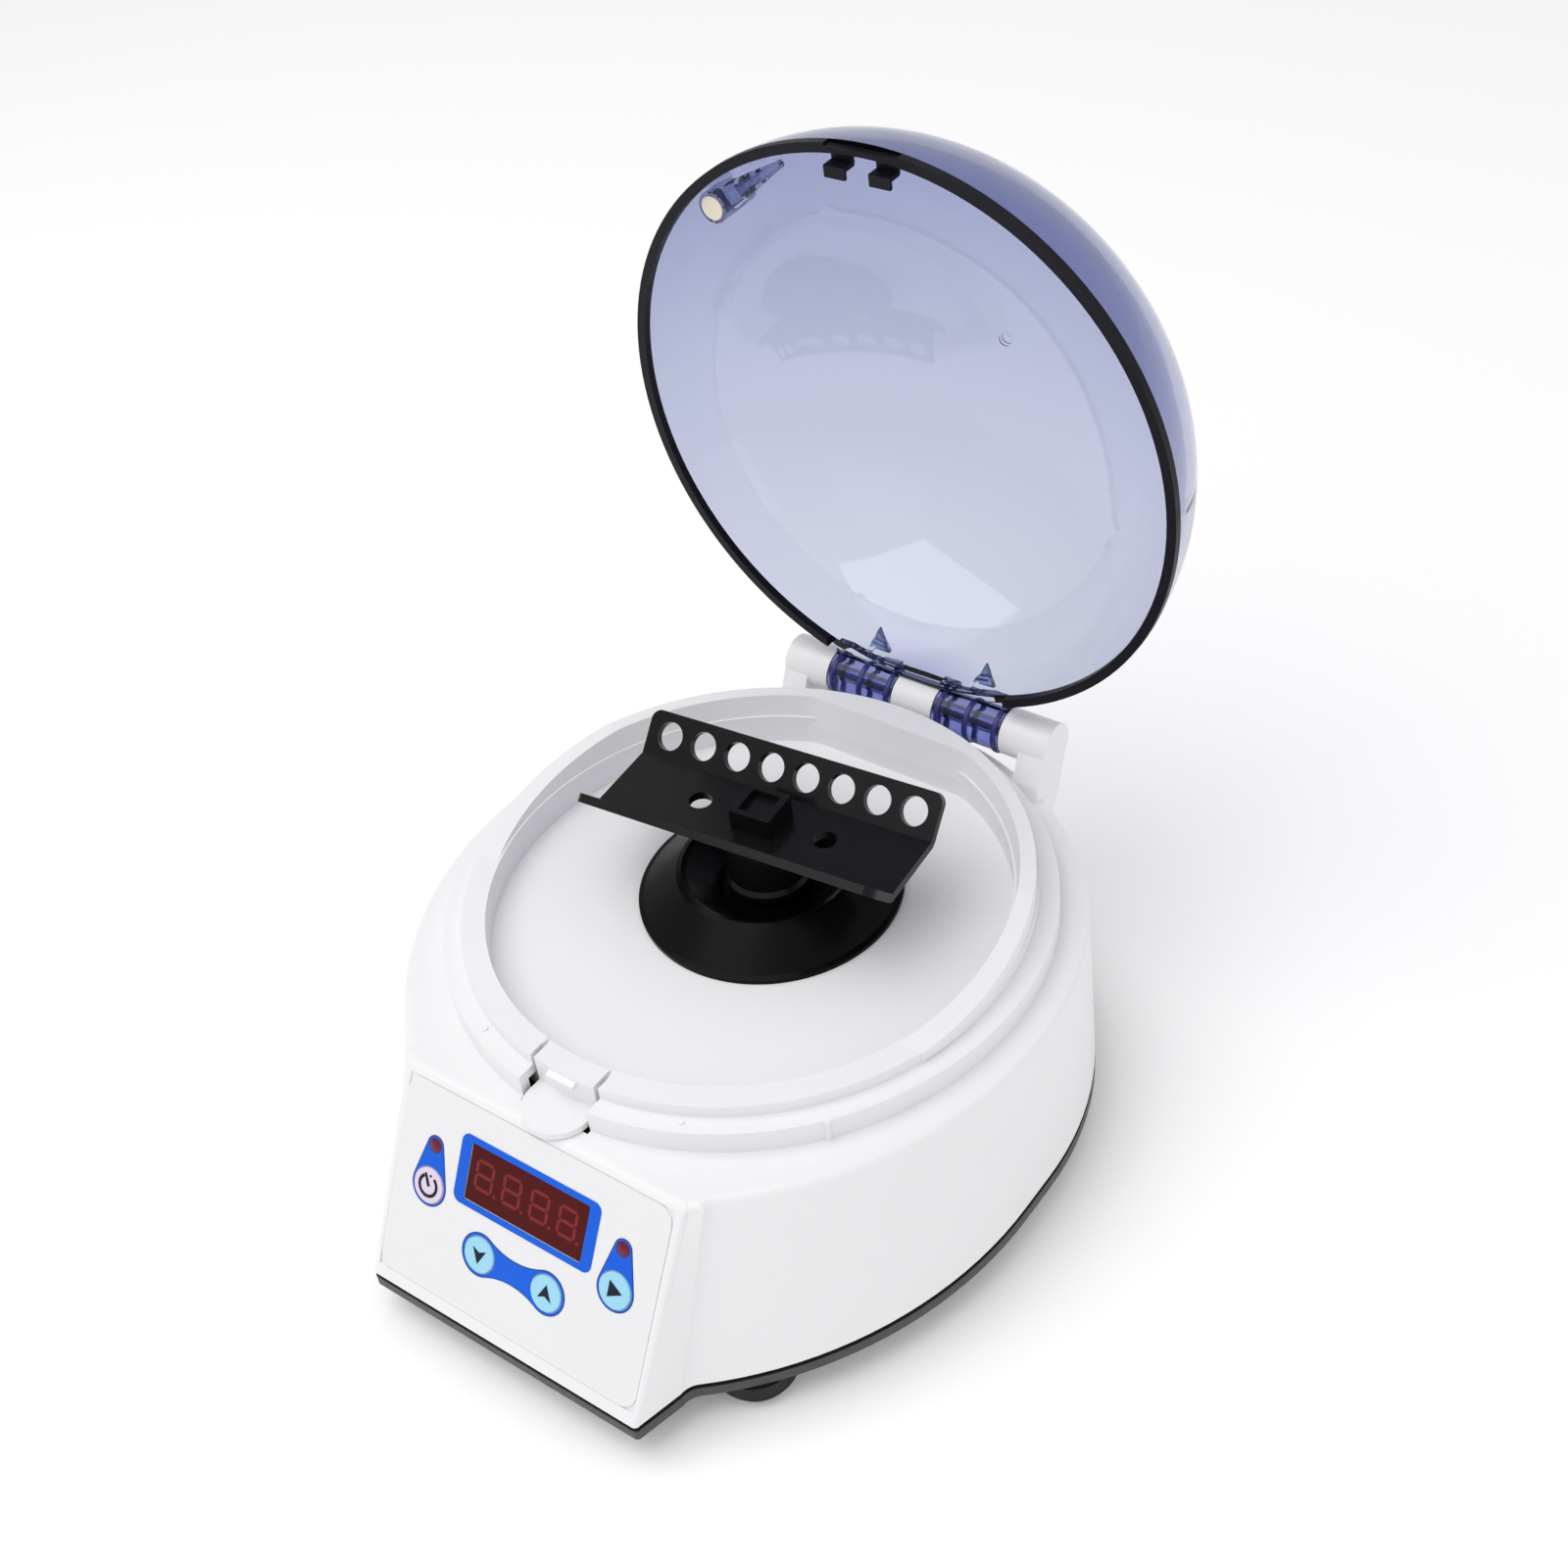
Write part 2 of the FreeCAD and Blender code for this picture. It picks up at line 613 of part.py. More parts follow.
# ---------------------------------------------------------------- control panel

def control_overlay():
    body = new_body("control_overlay", PANEL)
    sketch = new_sketch(body, "overlay_outline", offset="-overlay_sunk")
    add_polygon(sketch, rectangle("-overlay_half", "overlay_half", "overlay_low", "overlay_top"))
    pad = padded(body, sketch, "overlay_thick")
    rounded(body, pad, 4.0, upright)
    holes = new_sketch(body, "overlay_holes", offset="-overlay_sunk")
    add_polygon(holes, rectangle("-window_half_u - panel_gap", "window_half_u + panel_gap",
                                 "-window_half_v - panel_gap", "window_half_v + panel_gap"))
    for _, u, v in KEYS:
        add_circle(holes, u, v, "key_r + key_gap")
    for side in ("-side_key_u", "side_key_u"):
        add_circle(holes, side, "led_v", "led_r + panel_gap")
    pocketed(body, holes)


def display_window():
    body = new_body("display_window", PANEL)
    sketch = new_sketch(body, "window_outline", offset="-2")
    add_polygon(sketch, rectangle("-window_half_u", "window_half_u",
                                  "-window_half_v", "window_half_v"))
    pad = padded(body, sketch, "2.05")
    rounded(body, pad, 0.6, upright)


def display_module():
    body = new_body("display_module", PANEL)
    sketch = new_sketch(body, "module_outline", offset="board_w")
    add_polygon(sketch, rectangle("-15.2", "15.2", "-6.2", "6.2"))
    padded(body, sketch, "-board_w - 2.9")


def control_board():
    body = new_body("control_board", PANEL)
    sketch = new_sketch(body, "board_outline", offset="board_w - board_thick")
    add_polygon(sketch, rectangle("-33", "33", "-26", "10"))
    padded(body, sketch, "board_thick")


def key_caps():
    """Four round keys, each on a stem that reaches down to its switch."""
    for label, u, v in KEYS:
        body = new_body(label, PANEL)
        cap = new_sketch(body, label + "_cap", offset="-0.25")
        add_circle(cap, u, v, "key_r")
        padded(body, cap, "0.8")
        stem = new_sketch(body, label + "_stem", offset="-5")
        add_circle(stem, u, v, "1.6")
        pad = padded(body, stem, "5", "stem_pad")
        rounded(body, pad, 0.25, lambda edge: edge.BoundBox.ZMin > 0.5)


def tact_switches():
    switches = []
    for label, u, v in KEYS:
        case = brick(label + "_case", (u + " - 3", v + " - 3", "board_w"), ("6", "6", "3.2"))
        plunger = cylinder(label + "_plunger", "1.7", "1.7", (u, v, "board_w + 3.2"))
        switch = fused(label + "_switch", [case, plunger])
        switch.Placement = PANEL
        switches.append(switch)
    group("tact_switches", switches)


def indicator_leds():
    leds = []
    for side in ("-side_key_u", "side_key_u"):
        lens = cylinder("led_lens", "led_r", "-board_w - 1.4", (side, "led_v", "board_w"))
        tip = doc.addObject("Part::Sphere", "led_tip")
        tip.setExpression("Radius", bound("led_r"))
        for letter, text in zip("xyz", (side, "led_v", "-1.4")):
            tip.setExpression("Placement.Base." + letter, bound(text))
        led = fused("led", [lens, tip])
        led.Placement = PANEL
        leds.append(led)
    group("indicator_leds", leds)


# ---------------------------------------------------------------- latch

def latch_tab():
    """A push tab: curved front wall, top plate, thumb lip, hook and spring stem."""
    half = D["latch_half"]
    top = D["lip_z"]
    low = D["deck_z"] - 2
    plate_low = top - 1.4
    wall = disc(D["lip_r"], low, top).cut(disc(D["lip_r"] - 2, low - 1, top + 1))
    plate = disc(D["lip_r"], plate_low, top).cut(disc(D["bowl_r"] + 0.1, plate_low - 1, top + 1))
    strip = block((-half, -90, low - 1), (half, -50, top + 1))
    lip_y = -74.5
    lip_low = D["deck_z"] + 0.2
    lip_high = lip_low + 1.6
    lip_r = D["latch_lip_r"]
    lip = Part.makeCylinder(lip_r, lip_high - lip_low, Vector(0, lip_y, lip_low))
    lip = lip.fuse(block((-half, lip_y, lip_low), (half, -71.4, lip_high)))
    lip = lip.cut(block((-20, -71.4, 0), (20, -50, 99)))
    z = D["hook_z"]
    hook = extruded_x([(-71.5, z), (-73.1, z + 0.3), (-73.1, z + 0.9), (-71.5, z + 1.7)],
                      -3.6, 3.6)
    stem = block((-4.5, -71.7, 43.5), (4.5, -69.9, low + 1))
    tab = wall.common(strip).multiFuse([plate.common(strip), lip, hook, stem])
    feature("latch_tab", tab.removeSplitter())


def latch_spring():
    """A compression spring between the latch stem and the seat under the bowl."""
    wire_r = 0.35
    coil_r = 2.2
    start = -69.9 + wire_r
    end = -60.5 - wire_r
    turns = 6
    helix = Part.makeHelix((end - start) / turns, end - start, coil_r)
    ring = Part.Wire(Part.makeCircle(wire_r, Vector(coil_r, 0, 0), ALONG_Y))
    coil = Part.Wire(helix).makePipeShell([ring], True, True)
    placed = Placement(Vector(0, start, 48.5), Rotation(UP, ALONG_Y))
    feature("latch_spring", coil, placed)


# ---------------------------------------------------------------- lid

def dome_solid(inset):
    """The dome's full form, drawn in by inset, closed and standing over the chamber."""
    lean = math.radians(D["dome_lean"])
    turn = math.radians(D["dome_turn"])
    shoulder_r = D["dome_shoulder_r"]
    shoulder = Vector(D["lid_r"] - shoulder_r * math.cos(lean), 0,
                      D["lid_z"] - shoulder_r * math.sin(lean))
    reach = shoulder.x + shoulder_r * math.cos(turn)
    crown_r = reach / math.cos(turn)
    crown_z = shoulder.z + shoulder_r * math.sin(turn) - crown_r * math.sin(turn)
    start = math.asin((D["lid_z"] - shoulder.z) / (shoulder_r - inset))

    def point(centre, radius, angle):
        return centre + Vector(math.cos(angle), 0, math.sin(angle)) * (radius - inset)
    crown = Vector(0, 0, crown_z)
    foot = point(shoulder, shoulder_r, start)
    knee = point(shoulder, shoulder_r, turn)
    apex = point(crown, crown_r, math.pi / 2)
    arcs = [Part.Arc(foot, point(shoulder, shoulder_r, (start + turn) / 2), knee),
            Part.Arc(knee, point(crown, crown_r, (turn + math.pi / 2) / 2), apex)]
    below = Vector(foot.x, 0, D["lid_z"] - (1 if inset else 0))
    floor = Vector(0, 0, below.z)
    edges = [arc.toShape() for arc in arcs]
    edges.append(Part.makeLine(apex, floor))
    edges.append(Part.makeLine(floor, below))
    if inset:
        edges.append(Part.makeLine(below, foot))
    face = Part.Face(Part.Wire(edges))
    solid = face.revolve(Vector(), UP, 360)
    solid.translate(Vector(0, D["lid_y"], 0))
    return solid


def magnet_boss(outer):
    """A round boss for the magnet, with a tapered rib running along the wall."""
    x = D["magnet_x"]
    y = D["magnet_y"]
    low = D["lid_z"] - 0.3
    boss_r = D["magnet_r"] + 0.9
    boss = rod(boss_r, (x, y, low), (x, y, low + 30))
    rib = Part.makeCone(boss_r - 0.4, 0.8, 20, Vector(x, y, low + 4.6), Vector(17, -11.5, 0))
    keep_in = block((-80, -90, low), (80, 0, low + 11))
    return boss.fuse(rib).common(keep_in).common(outer)


def lid_knuckles(outer):
    """Two knuckles on the hinge axis, each with a web, a gusset and a pointed tab."""
    y = D["hinge_y"]
    z = D["hinge_z"]
    pieces = []
    for side in (-1, 1):
        low, high = sorted((side * D["knuckle_in"], side * D["knuckle_out"]))
        pieces.append(rod(D["knuckle_r"], (low, y, z), (high, y, z)))
        web = [(y, z - 0.6), (y - 8.2, z - 0.6), (y - 8.2, z + 1.8), (y, z + 1.8)]
        pieces.append(extruded_x(web, low, high))
        middle = (low + high) / 2
        gusset = [(y - 6.4, z - 0.6), (y - 9.2, z - 0.6), (y - 9.2, z + 4.2), (y - 10.4, z + 7.5),
                  (y - 6.4, z + 7.5)]
        pieces.append(extruded_x(gusset, middle - 0.8, middle + 0.8).common(outer))
        point = [Vector(middle + dx, y - dy, z + 4.4) for dx, dy in ((-2.7, 6), (2.7, 6), (0.5, 13))]
        tab = Part.Face(Part.makePolygon(point + point[:1])).extrude(Vector(0, 0, 1.4))
        pieces.append(tab.common(outer))
    return pieces


def lid_gate():
    """The shallow round dimples that moulding leaves at the dome's top, in and out."""
    top = dome_solid(0).BoundBox.ZMax
    inside = dome_solid(D["lid_wall"]).BoundBox.ZMax
    y = D["lid_y"]
    return [rod(D["gate_r"], (0, y, top - 0.3), (0, y, top + 1)),
            rod(D["gate_r"], (0, y, inside - 1), (0, y, inside + 0.25))]


def lid_dome():
    outer = dome_solid(0)
    dome = outer.cut(dome_solid(D["lid_wall"]))
    boss = magnet_boss(outer)
    dome = dome.multiFuse([boss] + lid_knuckles(outer))
    y = D["hinge_y"]
    z = D["hinge_z"]
    mid = D["knuckle_in"]
    out = D["knuckle_out"]
    socket_r = D["magnet_r"] + 0.05
    magnet_low = D["lid_z"] - 0.4
    cuts = [rod(D["relief_r"], (-mid, y, z), (mid, y, z)),
            rod(D["pin_r"] + D["pin_gap"], (-40, y, z), (40, y, z)),
            rod(socket_r, (D["magnet_x"], D["magnet_y"], magnet_low),
                (D["magnet_x"], D["magnet_y"], magnet_low + D["magnet_len"] + 0.1))]
    cuts += [rod(D["barrel_r"] + 0.5, (side * out, y, z), (side * 40, y, z)) for side in (-1, 1)]
    cuts += lid_gate()
    dome = dome.cut(Part.makeCompound(cuts)).removeSplitter()
    feature("lid_dome", dome, OPEN_LID)


def lid_seal():
    """The dark ring under the dome's edge, relieved at the hinge and at the catch."""
    inner = D["lid_r"] - D["seal_wall"]
    centre = Vector(0, D["lid_y"], 0)
    ring = disc(D["lid_r"], D["seal_z"], D["lid_z"], centre)
    ring = ring.cut(disc(inner, D["seal_z"] - 1, D["lid_z"] + 1, centre))
    notch_half = 8.8
    ring = ring.cut(block((-24.6, 40, 0), (24.6, 90, 99)))
    ring = ring.cut(block((-notch_half, -90, 0), (notch_half, D["lid_y"] - 67.8, 99)))
    top = D["lid_z"]
    nose_top = D["hook_z"] - 0.1
    nose_low = nose_top - 0.8
    for side in (-1, 1):
        low, high = sorted((side * 2.9, side * 7.9))
        arm = block((low, -77.4, top - 0.9), (high, -74.4, top))
        drop = block((low, -75.0, nose_low), (high, -74.0, top - 0.2))
        nose = block((low, -74.2, nose_low), (high, -72.4, nose_top))
        ring = ring.multiFuse([arm, drop, nose])
    feature("lid_seal", ring.removeSplitter(), OPEN_LID)


def lid_fittings():
    magnet = rod(D["magnet_r"], (D["magnet_x"], D["magnet_y"], D["lid_z"] - 0.3),
                 (D["magnet_x"], D["magnet_y"], D["lid_z"] - 0.3 + D["magnet_len"]))
    feature("lid_magnet", magnet, OPEN_LID)
    keep(cylinder("hinge_pin", "pin_r", "2 * pin_half", ("-pin_half", "hinge_y", "hinge_z"),
                  ALONG_X), "hinge_pin")
    toward = Vector(D["magnet_x"], D["magnet_y"] - D["ring_y"], 0).normalize()
    sensor = Part.makeBox(2.2, 5, 6, Vector(-1.1, -2.5, 0))
    angle = math.degrees(math.atan2(toward.y, toward.x))
    spot = RING + toward * 64.8 + Vector(0, 0, 52.9)
    feature("lid_sensor", sensor, Placement(spot, Rotation(UP, angle)))


# ---------------------------------------------------------------- rotor

def rotor_plate():
    """The flat middle of the strip rotor with its square sleeve."""
    body = new_body("rotor_plate", ROTOR)
    sketch = new_sketch(body, "rotor_section", "YZ_Plane", "-rotor_len / 2")
    edge_y = "(fold_y + rail_thick * sin(rail_tilt))"
    edge_z = "(rotor_z - rail_thick * cos(rail_tilt))"
    low = "rotor_z - rail_thick"
    add_polygon(sketch, [("-fold_y", "rotor_z"), ("-" + edge_y, edge_z), ("-fold_y - 0.3", low),
                         ("fold_y + 0.3", low), (edge_y, edge_z), ("fold_y", "rotor_z")])
    padded(body, sketch, "rotor_len")
    sleeve = new_sketch(body, "rotor_sleeve", offset="rotor_z - 1")
    add_polygon(sleeve, rectangle("-5.25", "5.25", "-5", "5"))
    pad = padded(body, sleeve, "6", "sleeve")
    rounded(body, pad, 0.6, lambda edge: upright(edge) and edge.BoundBox.ZMax > D["rotor_z"] + 4)
    holes = new_sketch(body, "rotor_holes", offset="rotor_z")
    post = "post_half + 0.05"
    add_polygon(holes, rectangle("-" + "(" + post + ")", post, "-" + "(" + post + ")", post))
    for across in ("-16", "16"):
        add_circle(holes, across, "0", "2.7")
    pocketed(body, holes)


def tube_rails():
    """The two tilted rails, each with a row of tube holes."""
    for label, side in (("rear_tube_rail", 1), ("front_tube_rail", -1)):
        fold = Vector(0, side * D["fold_y"], D["rotor_z"])
        tilt = Rotation(ALONG_X, side * D["rail_tilt"])
        body = new_body(label, ROTOR.multiply(Placement(fold, tilt)))
        near, far = ("0", "rail_width") if side > 0 else ("-rail_width", "0")
        sketch = new_sketch(body, label + "_outline", offset="-rail_thick")
        add_polygon(sketch, rectangle("-rotor_len / 2", "rotor_len / 2", near, far))
        pad = padded(body, sketch, "rail_thick")
        far_v = side * D["rail_width"]

        def outer_corner(edge, far_v=far_v):
            return upright(edge) and abs(edge.BoundBox.YMax - far_v) < 0.01
        rounded(body, pad, 2.5, outer_corner)
        hole = new_sketch(body, label + "_hole")
        middle = "%d * rail_width / 2" % side
        add_circle(hole, "-(tube_count - 1) / 2 * tube_pitch", middle, "tube_r")
        pocket = pocketed(body, hole)
        row = body.newObject("PartDesign::LinearPattern", label + "_row")
        row.Originals = [pocket]
        row.Direction = (hole, ["H_Axis"])
        row.setExpression("Length", bound("(tube_count - 1) * tube_pitch"))
        row.setExpression("Occurrences", bound("tube_count"))
        body.Tip = row
        doc.recompute()


def rotor_hub():
    points = [("shaft_r", "hub_low"), ("hub_r + 0.8", "hub_low"), ("hub_r + 0.8", "hub_low + 1.4"),
              ("hub_r", "hub_low + 2.4"), ("hub_r", "rotor_z - rail_thick"),
              ("0", "rotor_z - rail_thick"), ("0", "shaft_top"), ("shaft_r", "shaft_top")]
    body = turned("rotor_hub", points, ROTOR)
    post = new_sketch(body, "hub_post", offset="rotor_z - rail_thick")
    add_polygon(post, rectangle("-post_half", "post_half", "-post_half", "post_half"))
    padded(body, post, "rail_thick + 3.4", "post")


# ---------------------------------------------------------------- drive

def mount_places():
    places = []
    for i in range(3):
        turn = math.radians(90 + 120 * i)
        places.append((D["mount_pcd_r"] * math.cos(turn), D["mount_pcd_r"] * math.sin(turn)))
    return places


def shaft_boot():
    """A soft ring-shaped boot round the shaft: a truncated cone with a crater."""
    points = [("4.2", 2.0), ("10.5", 2.0), ("18.4", 7.6), ("19.6", 8.1), ("20.8", 7.6),
              ("28.9", 1.4), ("30.1", 1.0), ("30.1", 0), ("26.6", 0), ("19.9", 5.6), ("18.9", 5.7),
              ("11.2", 0.3), ("4.2", 0.3)]
    turned("shaft_boot", [(r, "floor_z + %s" % height) for r, height in points])


def motor_parts():
    low = "motor_low"
    top = "motor_top"
    turned("motor_can", [("motor_r - 1.3", low), ("motor_r", low), ("motor_r", top),
                         ("bush_r + 0.03", top), ("bush_r + 0.03", top + " - 1.6"),
                         ("motor_r - 1.3", top + " - 1.6")])
    turned("motor_end_cap", [("bush_r + 0.03", low), ("motor_r - 1.35", low),
                             ("motor_r - 1.35", low + " + 2.2"), ("6", low + " + 2.2"),
                             ("6", low + " + 4"), ("bush_r + 0.03", low + " + 4")])
    bushes = []
    for name, start in (("low_bush", low), ("top_bush", top + " - 4.2")):
        outer = cylinder(name + "_outer", "bush_r", "4.6", ("0", "0", start))
        bore = cylinder(name + "_bore", "shaft_r + 0.05", "8", ("0", "0", start + " - 1"))
        bushes.append(cut(name, outer, bore))
    group("motor_bushes", bushes)
    keep(cylinder("motor_shaft", "shaft_r", "shaft_top - shaft_low", ("0", "0", "shaft_low")),
         "motor_shaft")
    magnets = []
    for i, start in enumerate((-60, 120)):
        outer = doc.addObject("Part::Cylinder", "magnet_outer_%d" % i)
        outer.setExpression("Radius", bound("motor_r - 1.4"))
        outer.Height = 24
        outer.Angle = 120
        outer.Placement = Placement(Vector(0, 0, 19), Rotation(UP, start))
        inner = cylinder("magnet_inner_%d" % i, "motor_r - 3.6", "30", ("0", "0", "17"))
        magnets.append(cut("magnet_%d" % i, outer, inner))
    group("motor_magnets", magnets)


def motor_armature():
    """The wound core on the motor shaft, with three winding slots."""
    body = new_body("motor_armature")
    sketch = new_sketch(body, "core_outline", offset="21")
    add_circle(sketch, "0", "0", "motor_r - 4.2")
    add_circle(sketch, "0", "0", "shaft_r")
    padded(body, sketch, "20")
    slot = new_sketch(body, "core_slot", offset="21")
    add_polygon(slot, rectangle("4.5", "12", "-1.2", "1.2"))
    pocket = pocketed(body, slot)
    ring = body.newObject("PartDesign::PolarPattern", "core_slots")
    ring.Originals = [pocket]
    ring.Axis = (slot, ["N_Axis"])
    ring.Angle = 360
    ring.Occurrences = 3
    body.Tip = ring
    doc.recompute()


def motor_bracket():
    body = new_body("motor_bracket")
    sketch = new_sketch(body, "bracket_outline", offset="motor_top")
    add_circle(sketch, "0", "0", "bracket_r")
    add_circle(sketch, "0", "0", "bush_r + 0.6")
    padded(body, sketch, "bracket_thick")
    hole = new_sketch(body, "bracket_hole", offset="motor_top")
    add_circle(hole, "0", "mount_pcd_r", "shaft_r + 0.1")
    pocket = pocketed(body, hole)
    ring = body.newObject("PartDesign::PolarPattern", "bracket_holes")
    ring.Originals = [pocket]
    ring.Axis = (hole, ["N_Axis"])
    ring.Angle = 360
    ring.Occurrences = 3
    body.Tip = ring
    doc.recompute()


def motor_mounts():
    """Rubber isolators between bracket and bowl, with a screw through each."""
    isolators = []
    screws = []
    gap = "floor_z - bowl_floor - motor_top - bracket_thick"
    for i, (x, y) in enumerate(mount_places()):
        place = (str(x), str(y))
        rubber = cylinder("isolator_rubber_%d" % i, "4.2", gap,
                          place + ("motor_top + bracket_thick",))
        bore = cylinder("isolator_bore_%d" % i, "shaft_r + 0.1", "20", place + ("motor_top",))
        isolators.append(cut("isolator_%d" % i, rubber, bore))
        head = cylinder("mount_screw_head_%d" % i, "2.8", "1.8", place + ("motor_top - 1.8",))
        shank = cylinder("mount_screw_shank_%d" % i, "shaft_r", "floor_z - motor_top - 0.1",
                         place + ("motor_top - 0.1",))
        screws.append(fused("mount_screw_%d" % i, [head, shank]))
    group("motor_isolators", isolators)
    group("motor_screws", screws)


# ---------------------------------------------------------------- electronics

def board_corners():
    return [(x, y) for x in (-54.5, -27.5) for y in (-36.5, 12.5)]


def main_board():
    body = new_body("main_board")
    sketch = new_sketch(body, "main_board_outline", offset="15.4")
    add_polygon(sketch, rectangle("-58", "-24", "-40", "16"))
    padded(body, sketch, "board_thick")
    top = "15.4 + board_thick"
    parts = [cylinder("capacitor_1", "5", "13", ("-45", "-20", top)),
             cylinder("capacitor_2", "4", "11", ("-34", "-24", top)),
             cylinder("inductor", "6", "6", ("-44", "0", top)),
             brick("driver_chip", ("-36", "-12", top), ("7", "9", "2")),
             brick("power_connector", ("-50", "8", top), ("12", "6", "8")),
             brick("panel_connector", ("-56", "-34", top), ("5", "16", "6"))]
    group("main_board_parts", parts)


def dc_jack():
    x = D["jack_x"]
    z = D["port_z"]
    face = D["rear_face_y"] - 0.2
    case = block((x - 4.5, 49, z - 5.5), (x + 4.5, D["rear_face_y"] - 2.7, z + 5.5))
    collar = rod(4.0, (x, 55, z), (x, face, z))
    bore = rod(D["jack_bore_r"], (x, face - D["jack_bore_depth"], z), (x, face + 1, z))
    feature("dc_jack", case.fuse(collar).cut(bore).removeSplitter())


def power_switch():
    x = D["switch_x"]
    z = D["port_z"]
    face = D["rear_face_y"]
    bezel = block((x - 7.5, face, z - 10.5), (x + 7.5, face + 1.5, z + 10.5))
    case = block((x - 6.3, 46, z - 9.3), (x + 6.3, face, z + 9.3))
    well = block((x - 5.2, 54, z - 7.8), (x + 5.2, 80, z + 7.8))
    pins = [block((x - 0.4, 40, z + dz - 2.4), (x + 0.4, 46, z + dz + 2.4)) for dz in (-5, 5)]
    axle = Vector(x, face - 3.0, z)
    body = case.fuse(bezel).cut(well)
    body = body.cut(rod(1.1, (x - 5.9, axle.y, z), (x + 5.9, axle.y, z)))
    feature("power_switch", body.multiFuse(pins).removeSplitter())
    outline_yz = [(-3, -3), (1.6, -7.2), (4.6, -7.0), (3.4, 0), (4.6, 7.0), (1.6, 7.2), (-3, 3)]
    rocker = extruded_x(outline_yz, -5.05, 5.05).fuse(rod(1.0, (-5.8, 0, 0), (5.8, 0, 0)))
    tilt = Rotation(ALONG_X, D["rocker_tilt"])
    feature("power_rocker", rocker, Placement(axle, tilt))


# ---------------------------------------------------------------- make and check

def check_all():
    doc.recompute()
    for thing in doc.Objects:
        bad = [word for word in thing.State if word in ("Invalid", "Error")]
        if bad:
            raise RuntimeError("%s: %s" % (thing.Label, bad))
    for thing in SUBPARTS:
        shape = thing.Shape
        if shape.isNull() or not shape.isValid() or not shape.Solids:
            raise RuntimeError("bad shape: " + thing.Label)
        print("%-18s %2d solids %10.1f mm3" % (thing.Label, len(shape.Solids), shape.Volume))


def write_all():
    os.makedirs("parts", exist_ok=True)
    for thing in SUBPARTS:
        thing.Shape.exportStep("parts/%s.step" % thing.Label)
    print(len(SUBPARTS), "nodes")


upper_housing()
chamber_bowl()
base_plate()
rubber_feet()
base_screws()
control_overlay()
display_window()
display_module()
control_board()
key_caps()
tact_switches()
indicator_leds()
latch_tab()
latch_spring()
lid_dome()
lid_seal()
lid_fittings()
rotor_plate()
tube_rails()
rotor_hub()
shaft_boot()
motor_parts()
motor_armature()
motor_bracket()
motor_mounts()
main_board()
dc_jack()
power_switch()
check_all()
write_all()
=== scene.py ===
import json
import math

import bpy
from mathutils import Matrix, Vector


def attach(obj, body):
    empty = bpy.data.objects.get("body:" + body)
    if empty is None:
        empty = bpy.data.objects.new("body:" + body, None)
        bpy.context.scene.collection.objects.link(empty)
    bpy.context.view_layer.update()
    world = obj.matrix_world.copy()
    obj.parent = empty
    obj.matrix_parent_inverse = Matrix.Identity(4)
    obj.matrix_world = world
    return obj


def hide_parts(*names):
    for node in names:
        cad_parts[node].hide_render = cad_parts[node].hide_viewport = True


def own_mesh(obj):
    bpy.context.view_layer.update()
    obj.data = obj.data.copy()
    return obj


# A laboratory mini centrifuge with its clear lid open. Metres, in the frame of the CAD model:
# the rotor spins about Z, the bench is z = 0 and the control panel faces -Y.

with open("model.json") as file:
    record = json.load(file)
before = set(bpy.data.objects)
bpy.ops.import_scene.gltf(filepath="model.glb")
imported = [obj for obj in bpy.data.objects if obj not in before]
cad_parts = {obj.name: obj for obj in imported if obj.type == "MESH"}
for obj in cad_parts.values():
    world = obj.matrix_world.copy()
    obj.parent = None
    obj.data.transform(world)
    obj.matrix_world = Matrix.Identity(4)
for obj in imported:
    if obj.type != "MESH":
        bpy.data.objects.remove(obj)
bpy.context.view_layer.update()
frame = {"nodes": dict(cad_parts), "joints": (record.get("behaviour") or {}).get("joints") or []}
NODES = frame["nodes"]
JOINTS = {joint["name"]: joint for joint in frame["joints"]}
MM = 0.001
TURN = 2 * math.pi


# ---------------------------------------------------------------- places read from the frame

def span(node, direction):
    """Lowest and highest reach of a CAD node along a direction."""
    reach = [vertex.co.dot(direction) for vertex in NODES[node].data.vertices]
    return min(reach), max(reach)


def middle(node, direction):
    """The middle of a CAD node's reach along a direction."""
    low, high = span(node, direction)
    return (low + high) / 2


def half_width(node, direction):
    """Half of a CAD node's reach along a direction."""
    low, high = span(node, direction)
    return (high - low) / 2


class Panel:
    """The sloping front panel: u runs to the right, v up the slope, w out of it."""
    def __init__(self):
        self.w = -Vector(JOINTS["time_key_press"]["axis"]).normalized()
        self.u = Vector((1, 0, 0))
        self.v = self.w.cross(self.u)
        self.middle_u = middle("display_window", self.u)
        self.middle_v = middle("display_window", self.v)
        self.film = span("control_overlay", self.w)[1]
        self.glass = span("display_window", self.w)[1]
        self.cap = span("start_key", self.w)[1]

    def place(self, node):
        """Where a node's middle lies on the panel."""
        return middle(node, self.u) - self.middle_u, middle(node, self.v) - self.middle_v

    def matrix(self, level):
        """From panel coordinates at a level along w to the frame."""
        origin = self.u * self.middle_u + self.v * self.middle_v + self.w * level
        columns = Matrix((self.u, self.v, self.w)).transposed().to_4x4()
        return Matrix.Translation(origin) @ columns


PANEL = Panel()


# ---------------------------------------------------------------- objects and meshes

def linked(name, data):
    """A new object in the scene."""
    thing = bpy.data.objects.new(name, data)
    bpy.context.scene.collection.objects.link(thing)
    return thing


def mesh_of(curve):
    """The mesh that a curve makes."""
    temporary = linked(curve.name + "_curve", curve)
    mesh = bpy.data.meshes.new_from_object(temporary)
    bpy.data.objects.remove(temporary)
    return mesh


def smooth(mesh):
    for face in mesh.polygons:
        face.use_smooth = True


